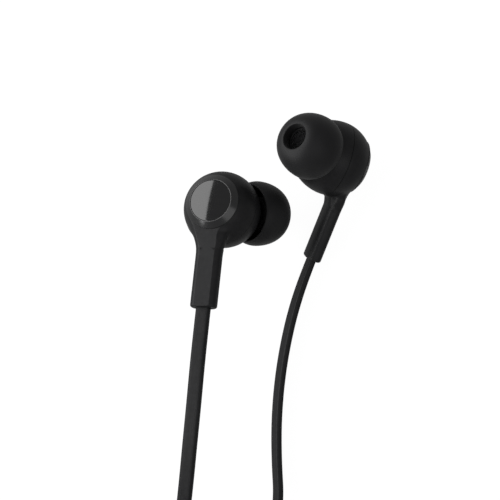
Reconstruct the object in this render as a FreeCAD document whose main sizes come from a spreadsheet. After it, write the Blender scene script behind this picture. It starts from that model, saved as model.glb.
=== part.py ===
import FreeCAD, Part
import math
import os
import re
import Sketcher
from FreeCAD import Placement, Rotation, Vector

doc = FreeCAD.newDocument("Earphones")
sizes = doc.addObject("Spreadsheet::Sheet", "Sizes")

# Driving dimensions in millimetres and degrees.
SIZES = {
    # bulb of the housing: an ovoid round the cap axis, split at the parting plane
    "bulb_radius": 7.3,
    "rear_depth": 7.5,
    "front_depth": 8.3,
    "pole_flattening": 0.6,
    "shell_wall": 1.0,
    "parting_height": 0.8,
    "tongue_length": 0.8,
    "tongue_wall": 0.55,
    "fit_gap": 0.04,
    # trim ring and glossy disc on the cap side
    "ring_radius": 5.3,
    "ring_edge": 0.12,
    "ring_rise": 0.9,
    "ring_spigot_wall": 0.5,
    "ring_seat_depth": 0.8,
    "ring_ledge": 0.6,
    "disc_radius": 4.0,
    "disc_thickness": 0.9,
    "disc_dome": 0.14,
    # stem with the cord outlet
    "stem_offset": 3.73,
    "stem_width": 5.0,
    "stem_depth": 2.9,
    "stem_corner": 0.86,
    "stem_reach": 20.2,
    "stem_end_round": 0.45,
    "flare_width": 9.0,
    "flare_top": 4.6,
    "flare_bottom": 10.2,
    "cord_gap": 0.1,
    "cord_socket": 3.0,
    "wire_slot_width": 1.8,
    "wire_slot_depth": 0.9,
    "wire_radius": 0.2,
    "wire_spread": 0.45,
    "stop_width": 2.6,
    "stop_depth": 1.4,
    "stop_height": 1.3,
    "stop_low": 5.25,
    "stop_back": 3.15,
    # nozzle: leans forward and lifts a little from the cap axis
    "nozzle_lean": 29.4,
    "nozzle_lift": 10.8,
    "nozzle_shift_side": 0.5,
    "nozzle_shift_back": 0.5,
    "nozzle_shift_down": 0.36,
    "nozzle_neck": 2.3,
    "nozzle_lip": 2.6,
    "nozzle_lip_length": 1.0,
    "nozzle_end": 12.2,
    "sound_bore": 1.75,
    "mesh_radius": 2.05,
    "mesh_thickness": 0.25,
    # silicone ear tip
    "tip_rim_height": 6.1,
    "tip_rim_radius": 5.75,
    "tip_belly_height": 8.1,
    "tip_belly_radius": 6.3,
    "tip_end": 14.1,
    "tip_mouth": 2.55,
    "tip_lip_round": 0.22,
    "sleeve_start": 7.75,
    "sleeve_wall": 0.66,
    "skirt_wall": 0.45,
    "tip_stop_gap": 0.1,
    "tip_rest_gap": 0.08,
    # driver, a moving-coil capsule across the bulb
    "driver_radius": 5.0,
    "driver_depth": 1.6,
    "driver_ledge": 0.7,
    "flange_height": 0.7,
    "basket_height": 1.9,
    "yoke_radius": 3.6,
    "yoke_wall": 0.45,
    "yoke_floor": 0.5,
    "yoke_back": 1.75,
    "yoke_height": 2.15,
    "magnet_radius": 2.5,
    "magnet_height": 1.15,
    "plate_radius": 2.55,
    "plate_height": 0.45,
    "coil_radius": 2.73,
    "coil_wall": 0.26,
    "coil_height": 1.35,
    "film_height": 0.45,
    "film_thickness": 0.12,
    "dome_rise": 0.5,
    "surround_gap": 0.13,
    "surround_roll": 0.75,
    "board_radius": 2.9,
    "board_thickness": 0.4,
    # cord: flat, the same all the way
    "cord_width": 2.8,
    "cord_thickness": 1.3,
    "cord_lean_room": 0.22,
    # put-away coil: the trunk winds in on the first layer and out on the second, the branches in on the third
    "coil_x": -1.7,
    "coil_y": -93.4,
    "trunk_turns": 3.875,
    "trunk_start": 120.0,
    "climb_dip": 1.0,
    "branch_turns": 1.8333,
    "branch_climb": 120.0,
    "coil_lift": 0.6,
    "turn_pitch": 1.8,
    "layer_step": 3.5,
    "trunk_radius": 18.5,
    "branch_radius": 18.4,
    # strap round the coil
    "tie_width": 4.0,
    "tie_thickness": 0.5,
    "tie_angle": 30.0,
    "tie_slack": 0.1,
    # splitter where the branches join
    "splitter_radius": 24.2,
    "splitter_angle": 34.0,
    "splitter_length": 13.0,
    "splitter_width": 6.2,
    "splitter_neck": 4.6,
    "splitter_height": 4.0,
    "splitter_round": 1.2,
    "splitter_socket": 2.5,
    # plug, three contacts, 3.5 mm
    "plug_radius": 1.75,
    "plug_length": 14.0,
    "tip_contact": 3.9,
    "plug_band": 0.6,
    "ring_contact": 1.8,
    "pin_radius": 0.5,
    "tube_radius": 0.85,
    "grip_radius": 3.1,
    "grip_length": 16.0,
    "grip_neck": 2.3,
    "grip_neck_length": 5.0,
    "grip_hold": 5.0,
    # how the pieces lie on the table: turn and place of each bulb's centre
    "right_yaw": 179.7,
    "right_pitch": 20.9,
    "right_roll": 105.4,
    "right_x": -11.05,
    "right_y": 0.3,
    "right_z": 11.27,
    "left_yaw": -48.9,
    "left_pitch": -68.0,
    "left_roll": -60.8,
    "left_x": 10.35,
    "left_y": 10.4,
    "left_z": 7.41,
}
for row, (alias, number) in enumerate(SIZES.items(), start=1):
    sizes.set(f"A{row}", alias)
    sizes.set(f"B{row}", str(number))
    sizes.setAlias(f"B{row}", alias)
doc.recompute()


def size(text):
    """The value of an expression in the sheet's words."""
    return float(sizes.evalExpression(text))


def bound(text):
    """The same expression as another object of the document reads it."""
    def cell(word):
        return "Sizes." + word.group(0) if word.group(0) in SIZES else word.group(0)
    return re.sub(r"[a-z][a-z_]+", cell, text)


def bind(item, **formulas):
    """Bind properties of an object; a double underscore stands for a dot."""
    for name, text in formulas.items():
        item.setExpression(name.replace("__", "."), bound(text))


ALONG_CAP = Rotation(Vector(1, 0, 0), -90)
UPRIGHT = Vector(0, 0, 1)
NODES = {}


def keep(label, item, place):
    """Make an object a sub-part: its label names its file, its placement seats it."""
    item.Label = label
    item.Placement = place.multiply(item.Placement)
    NODES[label] = item
    return item


def draw(sketch, outline):
    """Closed outline of (x, y) or (x, y, radius, side) in the sheet's words. The last two make the edge that
    leaves the point an arc, whose centre lies on the left (1) or on the right (-1)."""
    corners = [Vector(size(c[0]), size(c[1]), 0) for c in outline]
    ends = []
    for i, corner in enumerate(outline):
        p, q = corners[i], corners[(i + 1) % len(corners)]
        if len(corner) == 2:
            sketch.addGeometry(Part.LineSegment(p, q), False)
            ends.append((1, 2))
            continue
        radius, side = size(corner[2]), corner[3]
        half = (q - p) * 0.5
        left = Vector(-half.y, half.x, 0).normalize() * side
        centre = p + half + left * math.sqrt(radius**2 - half.Length**2)
        circle = Part.Circle(centre, UPRIGHT, radius)
        sketch.addGeometry(Part.ArcOfCircle(circle, *sweep_angles(p, q, centre, side)), False)
        ends.append((1, 2) if side > 0 else (2, 1))
    for i, corner in enumerate(outline):
        after = (i + 1) % len(outline)
        sketch.addConstraint(Sketcher.Constraint("Coincident", i, ends[i][1], after, ends[after][0]))
        for kind, text in (("DistanceX", corner[0]), ("DistanceY", corner[1])):
            n = sketch.addConstraint(Sketcher.Constraint(kind, -1, 1, i, ends[i][0], size(text)))
            sketch.setExpression(f"Constraints[{n}]", bound(text))
        if len(corner) > 2:
            n = sketch.addConstraint(Sketcher.Constraint("Radius", i, size(corner[2])))
            sketch.setExpression(f"Constraints[{n}]", bound(corner[2]))


def sweep_angles(p, q, centre, side):
    """Start and end angle of the arc from p to q, counter-clockwise as a sketch stores it."""
    first, last = (p, q) if side > 0 else (q, p)
    start = math.atan2(first.y - centre.y, first.x - centre.x)
    end = math.atan2(last.y - centre.y, last.x - centre.x)
    return start, end if end > start else end + 2 * math.pi


def sketch_on(body, role, outline, height="0"):
    """A sketch on one of the body's own planes, raised by height."""
    sketch = body.newObject("Sketcher::SketchObject", body.Name + "_sketch")
    plane = next(f for f in body.Origin.OriginFeatures if f.Role == role)
    sketch.AttachmentSupport = [(plane, "")]
    sketch.MapMode = "FlatFace"
    bind(sketch, AttachmentOffset__Base__z=height)
    draw(sketch, outline)
    return sketch


def turned(name, outline):
    """A body turned round its own Z axis from an outline of (radius, height)."""
    body = doc.addObject("PartDesign::Body", name)
    sketch = sketch_on(body, "XZ_Plane", outline)
    turn = body.newObject("PartDesign::Revolution", name + "_turn")
    turn.Profile = sketch
    turn.ReferenceAxis = (sketch, ["V_Axis"])
    turn.Angle = 360
    return body


def step(name, inner, outer, low, high):
    """A turned ring, or a disc when inner is 0."""
    return turned(name, [(inner, low), (outer, low), (outer, high), (inner, high)])


def box(name, low, high):
    """A block between two corners given in the sheet's words."""
    block = doc.addObject("Part::Box", name)
    for i, (side, axis) in enumerate((("Length", "x"), ("Width", "y"), ("Height", "z"))):
        bind(block, **{side: f"({high[i]}) - ({low[i]})", f"Placement__Base__{axis}": low[i]})
    return block


def rounded(width, depth, corner):
    """Outline of a rectangle about the origin with rounded corners."""
    x, y = f"({width}) / 2", f"({depth}) / 2"
    xi, yi = f"({width}) / 2 - ({corner})", f"({depth}) / 2 - ({corner})"
    return [
        (f"-({xi})", f"-({y})"), (xi, f"-({y})", corner, 1), (x, f"-({yi})"), (x, yi, corner, 1),
        (xi, y), (f"-({xi})", y, corner, 1), (f"-({x})", yi), (f"-({x})", f"-({yi})", corner, 1),
    ]


def ovoid(name, across, depth):
    """An oval solid round the cap axis, Y: arcs of the end radius at its poles and of a larger one between."""
    across, depth = f"({across})", f"({depth})"
    end = f"({across} - pole_flattening)"
    side = f"((({depth} - {end}) ^ 2 + {across} ^ 2 - {end} ^ 2) / (2 * pole_flattening))"
    reach = f"{end} * ({side} - {across}) / ({side} - {end})"
    height = f"({depth} - {end}) * {side} / ({side} - {end})"
    return on_axis(turned(name, [
        ("0", f"-{depth}", end, 1), (reach, f"-({height})", side, 1), (reach, height, end, 1), ("0", depth)]),
        ALONG_CAP)


def combine(kind, name, parts):
    """A union (Fuse) or an intersection (Common) of several objects."""
    result = doc.addObject(f"Part::Multi{kind}", name)
    result.Shapes = parts
    return result


def cut(name, base, tools):
    """An object with one or more tools taken away."""
    result = doc.addObject("Part::Cut", name)
    result.Base = base
    result.Tool = tools[0] if len(tools) == 1 else combine("Fuse", name + "_tools", tools)
    return result


def on_axis(item, rotation, base=Vector()):
    """Turn a tool or a piece that was made along Z."""
    item.Placement = Placement(base, rotation)
    return item


# The rear of the ovoid is cut flat where its radius is that of the trim ring.
CAP_FLAT = "rear_depth * sqrt(1 - (ring_radius / bulb_radius) ^ 2)"
SEAT = f"({CAP_FLAT}) - ring_seat_depth"
DISC_FACE = f"({CAP_FLAT}) + ring_rise"
FAR = "3 * bulb_radius"


def stem(name):
    """Straight stem of a rounded rectangle with a flare that runs up into the bulb."""
    body = doc.addObject("PartDesign::Body", name)
    section = rounded("stem_width", "stem_depth", "stem_corner")
    straight = body.newObject("PartDesign::Pad", name + "_pad")
    straight.Profile = sketch_on(body, "XY_Plane", section, "-stem_reach")
    bind(straight, Length="stem_reach - flare_top")
    doc.recompute()
    edges = [f"Edge{i + 1}" for i, e in enumerate(body.Shape.Edges)
             if e.BoundBox.ZMax < -size("stem_reach") + 1e-6]
    end = body.newObject("PartDesign::Fillet", name + "_end")
    end.Base = (straight, edges)
    bind(end, Radius="stem_end_round")
    flare = body.newObject("PartDesign::AdditiveLoft", name + "_flare")
    sections = []
    for share, spread in ((0.0, 1.0), (0.35, 0.40), (0.68, 0.10), (1.0, 0.0)):
        width = f"stem_width + (flare_width - stem_width) * {spread}"
        height = f"-flare_top - (flare_bottom - flare_top) * {share}"
        sections.append(sketch_on(body, "XY_Plane", rounded(width, "stem_depth", "stem_corner"), height))
    flare.Profile = sections[0]
    flare.Sections = sections[1:]
    body.Placement.Base = Vector(0, size("stem_offset"), 0)
    return body


def nozzle_frame(side):
    """The nozzle axis as a placement whose Z points out of the nozzle; side is -1 on the right piece."""
    lean, lift = math.radians(size("nozzle_lean")), math.radians(size("nozzle_lift"))
    way = Vector(side * math.sin(lean) * math.cos(lift), -math.cos(lean) * math.cos(lift), math.sin(lift))
    base = Vector(side * size("nozzle_shift_side"), size("nozzle_shift_back"), -size("nozzle_shift_down"))
    return Placement(base, Rotation(UPRIGHT, way))


def rear_housing(ear):
    """Rear shell and stem, with the cap seat, the tongue of the parting joint and the cord's way in."""
    outside = combine("Common", ear + "rear_bulb", [
        ovoid(ear + "rear_outside", "bulb_radius", "rear_depth"),
        box(ear + "rear_slab", (f"-{FAR}", "parting_height", f"-{FAR}"), (FAR, CAP_FLAT, FAR)),
    ])
    solid = combine("Fuse", ear + "rear_solid", [outside, stem(ear + "stem")])
    inside = combine("Common", ear + "rear_chamber", [
        ovoid(ear + "rear_inside", "bulb_radius - shell_wall", "rear_depth - shell_wall"),
        box(ear + "rear_room", (f"-{FAR}", "parting_height - 1", f"-{FAR}"),
            (FAR, f"({SEAT}) - shell_wall", FAR)),
    ])
    seat = step(ear + "cap_seat_cut", "0", "ring_radius - ring_spigot_wall + fit_gap", SEAT, FAR)
    face = turned(ear + "cap_face_cut", [
        ("0", CAP_FLAT), ("ring_radius + fit_gap", CAP_FLAT), ("ring_radius + fit_gap", FAR), ("0", FAR)])
    slot = box(ear + "wire_slot", ("-wire_slot_width / 2", "stem_offset - wire_slot_depth / 2", "-stem_reach"),
               ("wire_slot_width / 2", "stem_offset + wire_slot_depth / 2", "shell_wall - bulb_radius"))
    elbow = box(ear + "wire_elbow", ("-wire_slot_width / 2", "stop_back - stop_depth", "-stop_low - 3.5"),
                ("wire_slot_width / 2", "stem_offset + wire_slot_depth / 2", "-stop_low"))
    socket = box(ear + "cord_socket_cut",
                 ("-cord_width / 2 - cord_gap", "stem_offset - cord_thickness / 2 - cord_gap",
                  "-stem_reach - 1"),
                 ("cord_width / 2 + cord_gap", "stem_offset + cord_thickness / 2 + cord_gap",
                  "-stem_reach + cord_socket"))
    shell = cut(ear + "rear_shell", solid, [
        on_axis(seat, ALONG_CAP), on_axis(face, ALONG_CAP), inside, slot, elbow, socket])
    tongue = on_axis(step(ear + "tongue", TONGUE_INNER, TONGUE_OUTER, "parting_height - tongue_length",
                          "parting_height + tongue_length"), ALONG_CAP)
    return combine("Fuse", ear + "rear_housing_solid", [shell, tongue])


TONGUE_OUTER = "bulb_radius - shell_wall"
TONGUE_INNER = "bulb_radius - shell_wall - tongue_wall"


def front_housing(ear, axis):
    """Front shell with the driver's bore, the groove for the tongue, and the nozzle."""
    outside = combine("Common", ear + "front_bulb", [
        ovoid(ear + "front_outside", "bulb_radius", "front_depth"),
        box(ear + "front_slab", (f"-{FAR}", f"-{FAR}", f"-{FAR}"), (FAR, "parting_height", FAR)),
    ])
    nozzle = turned(ear + "nozzle", [
        ("0", "bulb_radius / 2"), ("nozzle_neck", "bulb_radius / 2"),
        ("nozzle_neck", "nozzle_end - nozzle_lip_length"),
        ("nozzle_lip", "nozzle_end - nozzle_lip_length + 0.2"), ("nozzle_lip", "nozzle_end - 0.35"),
        ("nozzle_lip - 0.25", "nozzle_end"), ("0", "nozzle_end")])
    nozzle.Placement = axis
    solid = combine("Fuse", ear + "front_solid", [outside, nozzle])
    chamber = combine("Common", ear + "front_chamber", [
        ovoid(ear + "front_inside", "bulb_radius - shell_wall", "front_depth - shell_wall"),
        box(ear + "front_room", (f"-{FAR}", f"-{FAR}", f"-{FAR}"), (FAR, "-driver_depth - driver_ledge", FAR)),
    ])
    window = step(ear + "ledge_window", "0", "driver_radius - driver_ledge",
                  "-driver_depth - 2 * driver_ledge",
                  "-driver_depth + 0.1")
    bore = step(ear + "driver_bore", "0", "driver_radius + fit_gap", "-driver_depth", FAR)
    groove = step(ear + "tongue_groove", "0", f"{TONGUE_OUTER} + fit_gap",
                  "parting_height - tongue_length - fit_gap", FAR)
    sound = step(ear + "sound_bore_cut", "0", "sound_bore", "bulb_radius / 3", FAR)
    mouth = step(ear + "mesh_seat", "0", "mesh_radius + fit_gap", "nozzle_end - mesh_thickness", FAR)
    for tool in (window, bore, groove):
        on_axis(tool, ALONG_CAP)
    sound.Placement = axis
    mouth.Placement = axis
    return cut(ear + "front_housing_solid", solid, [chamber, window, bore, groove, sound, mouth])


def ear_tip_shape():
    """Silicone tip about Z: a sleeve on the nozzle, folded back at the mouth into a domed skirt."""
    belly, height = size("tip_belly_radius"), size("tip_belly_height")
    rim, low = size("tip_rim_radius"), size("tip_rim_height")
    mouth, end = size("tip_mouth"), size("tip_end")
    wall, lip = size("skirt_wall"), size("tip_lip_round")
    bore = size("nozzle_lip + fit_gap")
    sleeve = bore + size("sleeve_wall")
    stop = size("nozzle_end + tip_stop_gap")
    throat = mouth - 2 * lip
    start = size("sleeve_start")

    def spot(radius, z):
        return Vector(radius, 0, z)

    def quarter(centre, across, along):
        """Quarter of an ellipse from its end on the axis side to its widest point."""
        major, minor = (across, along) if across > along else (along, across)
        corner = spot(centre.x + across, centre.z)
        peak = spot(centre.x, centre.z + along)
        ellipse = Part.Ellipse(peak, corner, centre) if along > across else Part.Ellipse(corner, peak, centre)
        a, b = ellipse.parameter(peak), ellipse.parameter(corner)
        a, b = min(a, b), max(a, b)
        if b - a > math.pi:
            a, b = b, a + 2 * math.pi
        return Part.ArcOfEllipse(ellipse, a, b).toShape()

    crown = spot(mouth, height)
    hollow = spot(sleeve, height)
    top_in = end - 1.9 * wall
    outer_dome = quarter(crown, belly - mouth, end - height)
    inner_dome = quarter(hollow, belly - wall - sleeve, top_in - height)
    lip_centre = spot(mouth, end - lip)
    edges = [
        Part.LineSegment(spot(bore, start), spot(bore, stop)).toShape(),
        Part.LineSegment(spot(bore, stop), spot(throat, stop)).toShape(),
        Part.LineSegment(spot(throat, stop), spot(mouth - lip, end - lip)).toShape(),
        Part.Arc(spot(mouth - lip, end - lip), lip_centre + Vector(-lip, 0, lip) * math.sqrt(0.5),
                 spot(mouth, end)).toShape(),
        outer_dome,
        Part.Arc(
            spot(belly, height), spot((belly + rim) / 2 + 0.12, (height + low) / 2), spot(rim, low)).toShape(),
        Part.LineSegment(spot(rim, low), spot(rim - wall, low)).toShape(),
        Part.Arc(spot(rim - wall, low), spot((belly + rim) / 2 - wall + 0.12, (height + low) / 2),
                 spot(belly - wall, height)).toShape(),
        inner_dome,
        Part.LineSegment(spot(sleeve, top_in), spot(sleeve, start)).toShape(),
        Part.LineSegment(spot(sleeve, start), spot(bore, start)).toShape(),
    ]
    outline = Part.Wire(Part.sortEdges(edges)[0])
    return Part.Face(outline).revolve(Vector(), UPRIGHT, 360)


def driver(ear, seat):
    """The moving-coil capsule, every piece turned round the cap axis."""
    front = "-driver_depth"
    yoke_front = "yoke_back - yoke_height"
    magnet_back = "yoke_back - yoke_floor"
    magnet_front = "yoke_back - yoke_floor - magnet_height"
    film = "film_height - driver_depth"
    rim = "coil_radius + coil_wall"
    roll_in, roll_out = f"{rim} + surround_gap", "driver_radius - driver_ledge - fit_gap"
    dome = f"(({rim}) ^ 2 + dome_rise ^ 2) / (2 * dome_rise)"
    pieces = {
        "driver_frame": turned(ear + "frame", [
            ("driver_radius - driver_ledge", front), ("driver_radius", front),
            ("driver_radius", f"{front} + flange_height"),
            ("yoke_radius + yoke_wall", f"{front} + basket_height"),
            ("yoke_radius + fit_gap", f"{front} + basket_height"),
            ("yoke_radius + fit_gap", f"{front} + basket_height - yoke_wall"),
            ("driver_radius - driver_ledge", f"{front} + flange_height - 0.2")]),
        "driver_yoke": turned(ear + "yoke", [
            ("0", magnet_back), ("yoke_radius - yoke_wall", magnet_back),
            ("yoke_radius - yoke_wall", yoke_front), ("yoke_radius", yoke_front),
            ("yoke_radius", "yoke_back"), ("0", "yoke_back")]),
        "driver_magnet": step(ear + "magnet", "0", "magnet_radius", magnet_front, magnet_back),
        "driver_top_plate": step(ear + "plate", "0", "plate_radius", f"{magnet_front} - plate_height",
                                 magnet_front),
        "terminal_board": step(ear + "board", "0", "board_radius", "yoke_back", "yoke_back + board_thickness"),
        "voice_coil": step(ear + "coil", "coil_radius", rim, f"{film} + film_thickness",
                           f"{film} + film_thickness + coil_height"),
        "diaphragm": turned(ear + "dome", [
            ("0", f"{film} - dome_rise", dome, 1), (rim, film), (rim, f"{film} + film_thickness", dome, -1),
            ("0", f"{film} + film_thickness - dome_rise")]),
        "surround": turned(ear + "roll", [
            (roll_in, film, "surround_roll", 1), (roll_out, film),
            (roll_out, f"{film} + film_thickness", "surround_roll", -1),
            (roll_in, f"{film} + film_thickness")]),
    }
    for name, piece in pieces.items():
        keep(ear + name, piece, seat.multiply(Placement(Vector(), ALONG_CAP)))


def wiring(ear, seat):
    """The stop that holds the cord's wires in the shell, and the two wires, from the cord to the board."""
    block = box(ear + "stop", ("-stop_width / 2", "stop_back - stop_depth", "-stop_low"),
                ("stop_width / 2", "stop_back", "stop_height - stop_low"))
    passage = "wire_radius + fit_gap"
    passages, wires = [], []
    for name, x in (("first", "-wire_spread"), ("second", "wire_spread")):
        passages.append(box(
            ear + name + "_passage",
            (f"{x} - ({passage})", f"stop_back - stop_depth / 2 - ({passage})", "-stem_reach"),
            (f"{x} + {passage}", f"stop_back - stop_depth / 2 + {passage}", "0")))
        foot = Vector(size(x), size("stop_back - stop_depth / 2"), -size("stop_low"))
        path = Part.Wire(route([
            Vector(size(x), size("stem_offset"), size("cord_socket - stem_reach")),
            Vector(size(x), size("stem_offset"), -size("stop_low") - 3.2),
            foot - UPRIGHT * 1.2,
            Vector(foot.x, foot.y, -size("board_radius / 2")),
        ]))
        circle = Part.Wire(Part.Circle(path.Vertexes[0].Point, UPRIGHT, size("wire_radius")).toShape())
        wires.append(path.makePipeShell([circle], True, False))
    keep(ear + "cable_stop", cut(ear + "stop_solid", block, passages), seat)
    leads = doc.addObject("Part::Feature", ear + "wires")
    leads.Shape = Part.makeCompound(wires)
    keep(ear + "leads", leads, seat)


def bend(start, way, end):
    """Arc from start, which it leaves along way, to end; a line where they are in line."""
    chord = end - start
    half = way.getAngle(chord)
    if half < 1e-6:
        return Part.LineSegment(start, end).toShape()
    aside = way - chord * (way.dot(chord) / chord.Length**2)
    aside.normalize()
    crown = (start + end) * 0.5 + aside * (chord.Length / 2 * math.tan(half / 2))
    return Part.Arc(start, crown, end).toShape()


def route(points):
    """Straight runs joined by tangent arcs, each as large as its two runs allow."""
    edges, last, radii = [], points[0], []
    for before, corner, after in zip(points, points[1:], points[2:]):
        run_in, run_out = corner - before, after - corner
        turn = run_in.getAngle(run_out)
        cut_back = 0.45 * min(run_in.Length, run_out.Length)
        radii.append(cut_back / math.tan(turn / 2))
        start = corner - run_in.normalize() * cut_back
        end = corner + run_out.normalize() * cut_back
        edges += [Part.LineSegment(last, start).toShape(), bend(start, Vector(run_in), end)]
        last = end
    edges.append(Part.LineSegment(last, points[-1]).toShape())
    print("route of", len(points), "points, radii", [round(r, 1) for r in radii])
    return edges


def trunk_stations():
    """Angle, radius and height along the trunk's coil: in on one layer, up in half a turn that dips inwards to
    clear its neighbours, and out on the next layer."""
    pitch, rounds, climb = size("turn_pitch"), size("trunk_turns"), size("layer_step")
    steps = math.ceil(rounds * 4)
    outer, low, start = size("trunk_radius"), layers[0], size("trunk_start")
    inner, turned_back = outer - pitch * rounds, start + 360 * rounds
    way_in = [(start + 360 * rounds * i / steps, outer - pitch * rounds * i / steps, low)
              for i in range(steps + 1)]
    way_up = [(turned_back + 45 * i, inner - dip * size("climb_dip"), low + climb * share)
              for i, share, dip in ((1, 0.15, 0.6), (2, 0.5, 1.0), (3, 0.85, 0.75))]
    way_out = [(turned_back + 180 + 360 * rounds * i / steps, inner + pitch * rounds * i / steps, low + climb)
               for i in range(steps + 1)]
    return way_in + way_up + way_out


def branch_stations(start, radius, rounds):
    """The same along a branch's coil: inwards, and up one layer at its end while it still winds inwards."""
    pitch, climb, arc = 2 * size("turn_pitch"), size("layer_step"), size("branch_climb")
    steps = math.ceil(rounds * 4)
    way_in = [(start + 360 * rounds * i / steps, radius - pitch * rounds * i / steps, layers[2])
              for i in range(steps + 1)]
    end, inner, low = way_in[-1]
    return way_in + [(end + arc * i / 4, inner - pitch * arc / 360 * i / 4, low + climb * share)
                     for i, share in ((1, 0.15), (2, 0.5), (3, 0.85), (4, 1.0))]


def wound(stations):
    """Edges of a coil through its stations, counter-clockwise from above, each two stations joined by two arcs
    tangent to each other; with the point and the way at either end."""
    places, ways = [], []
    for i, (angle, radius, height) in enumerate(stations):
        c, s = math.cos(math.radians(angle)), math.sin(math.radians(angle))
        drift = rising = 0
        if 0 < i < len(stations) - 1:
            before, after = stations[i - 1], stations[i + 1]
            drift = (after[1] - before[1]) / math.radians(after[0] - before[0])
            rising = (after[2] - before[2]) / math.radians(after[0] - before[0])
        places.append(about_coil(radius * c, radius * s, height))
        ways.append(Vector(drift * c - radius * s, drift * s + radius * c, rising).normalize())
    edges = []
    for p, q, out, into in zip(places, places[1:], ways, ways[1:]):
        gap = q - p
        a, b = 2 * (1 - out.dot(into)), 2 * gap.dot(out + into)
        reach = (math.sqrt(b * b + 4 * a * gap.Length**2) - b) / (2 * a)
        knee, far_knee = p + out * reach, q - into * reach
        middle = (knee + far_knee) * 0.5
        edges += [bend(p, out, middle), bend(middle, (far_knee - knee).normalize(), q)]
    return edges, (places[0], ways[0]), (places[-1], ways[-1])


def section(at, way, thin):
    """Rectangle of the flat cord across its way; thin is the direction of its thickness."""
    wide = way.cross(thin).normalize() * size("cord_width / 2")
    thin = thin * size("cord_thickness / 2")
    corners = [at + wide + thin, at - wide + thin, at - wide - thin, at + wide - thin]
    return Part.makePolygon(corners + corners[:1])


def coiled(label, edges):
    """The flat cord swept on edge along a coil."""
    path = Part.Wire(edges)
    way = edges[0].tangentAt(edges[0].FirstParameter)
    shell = Part.BRepOffsetAPI.MakePipeShell(path)
    shell.setBiNormalMode(UPRIGHT)
    shell.add(section(path.Vertexes[0].Point, way, UPRIGHT.cross(way)), False, False)
    shell.build()
    shell.makeSolid()
    cord_node(label, shell.shape(), path.Length, edges)


def loose(label, points, thin=None, untwist=(0.0, 1.0)):
    """A free stretch of the flat cord, lofted along its route. It stands on edge, except that it starts with
    its thickness along thin and turns upright between two shares of its length."""
    edges = route(points)
    stations = []
    for edge in edges:
        count = max(1, math.ceil(edge.Length / 2.5))
        for i in range(count):
            at = edge.getParameterByLength(edge.Length * i / count)
            stations.append((edge.valueAt(at), edge.tangentAt(at)))
    stations.append((edges[-1].valueAt(edges[-1].LastParameter), edges[-1].tangentAt(edges[-1].LastParameter)))
    length = sum(edge.Length for edge in edges)
    roll = 0.0
    if thin:
        way = stations[0][1]
        level = UPRIGHT.cross(way).normalize()
        roll = math.degrees(math.atan2(thin.dot(way.cross(level)), thin.dot(level)))
        roll = (roll + 90) % 180 - 90
    sections, gone, last = [], 0.0, stations[0][0]
    for at, way in stations:
        gone += (at - last).Length
        last = at
        share = min(1, max(0, (gone / length - untwist[0]) / (untwist[1] - untwist[0])))
        left = roll * (1 - share * share * (3 - 2 * share))
        across = Rotation(way, left).multVec(UPRIGHT.cross(way).normalize())
        sections.append(section(at, way, across))
    cord_node(label, Part.makeLoft(sections, True, True), length, edges)


CORD_LINES = {}


def cord_node(label, shape, length, edges):
    """Keep a stretch of cord, after its volume is set against its section times its length."""
    item = doc.addObject("Part::Feature", label)
    item.Shape = shape
    keep(label, item, Placement())
    CORD_LINES[label] = (length, edges)
    expected = length * size("cord_width * cord_thickness")
    print(f"{label}: length {length:.1f}, volume {shape.Volume:.1f} against {expected:.1f}")


def about_coil(x, y, z):
    """A point given from the middle of the coil, at the table's level."""
    return Vector(size("coil_x") + x, size("coil_y") + y, z)


def beside(points, offset):
    """The same route moved sideways, level with the table, by offset to its left."""
    moved = []
    for i, point in enumerate(points):
        way = points[min(i + 1, len(points) - 1)] - points[max(i - 1, 0)]
        moved.append(point + UPRIGHT.cross(way).normalize() * offset)
    return moved


def splitter(place):
    """Moulded block where the two branches, on edge side by side, become the trunk; Z runs to the trunk."""
    body = doc.addObject("PartDesign::Body", "splitter_block")
    loft = body.newObject("PartDesign::AdditiveLoft", "splitter_loft")
    sections = []
    for share, width in (("0", "splitter_width"), ("0.55", "splitter_width"), ("1", "splitter_neck")):
        outline = rounded(width, "splitter_height", "splitter_round")
        sections.append(sketch_on(body, "XY_Plane", outline, f"splitter_length * {share}"))
    loft.Profile = sections[0]
    loft.Sections = sections[1:]
    loft.Ruled = True
    across, up = "cord_thickness / 2 + cord_gap", "cord_width / 2 + cord_gap"
    tools = []
    for name, centre, low, high in (
        ("first_branch", "turn_pitch / 2", "-1", "splitter_socket"),
        ("second_branch", "-turn_pitch / 2", "-1", "splitter_socket"),
        ("trunk", "0", "splitter_length - splitter_socket", "splitter_length + 1"),
    ):
        tools.append(box(name + "_socket", (f"{centre} - ({across})", f"-({up})", low),
                         (f"{centre} + {across}", up, high)))
    keep("splitter", cut("splitter_solid", body, tools), place)


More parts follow.
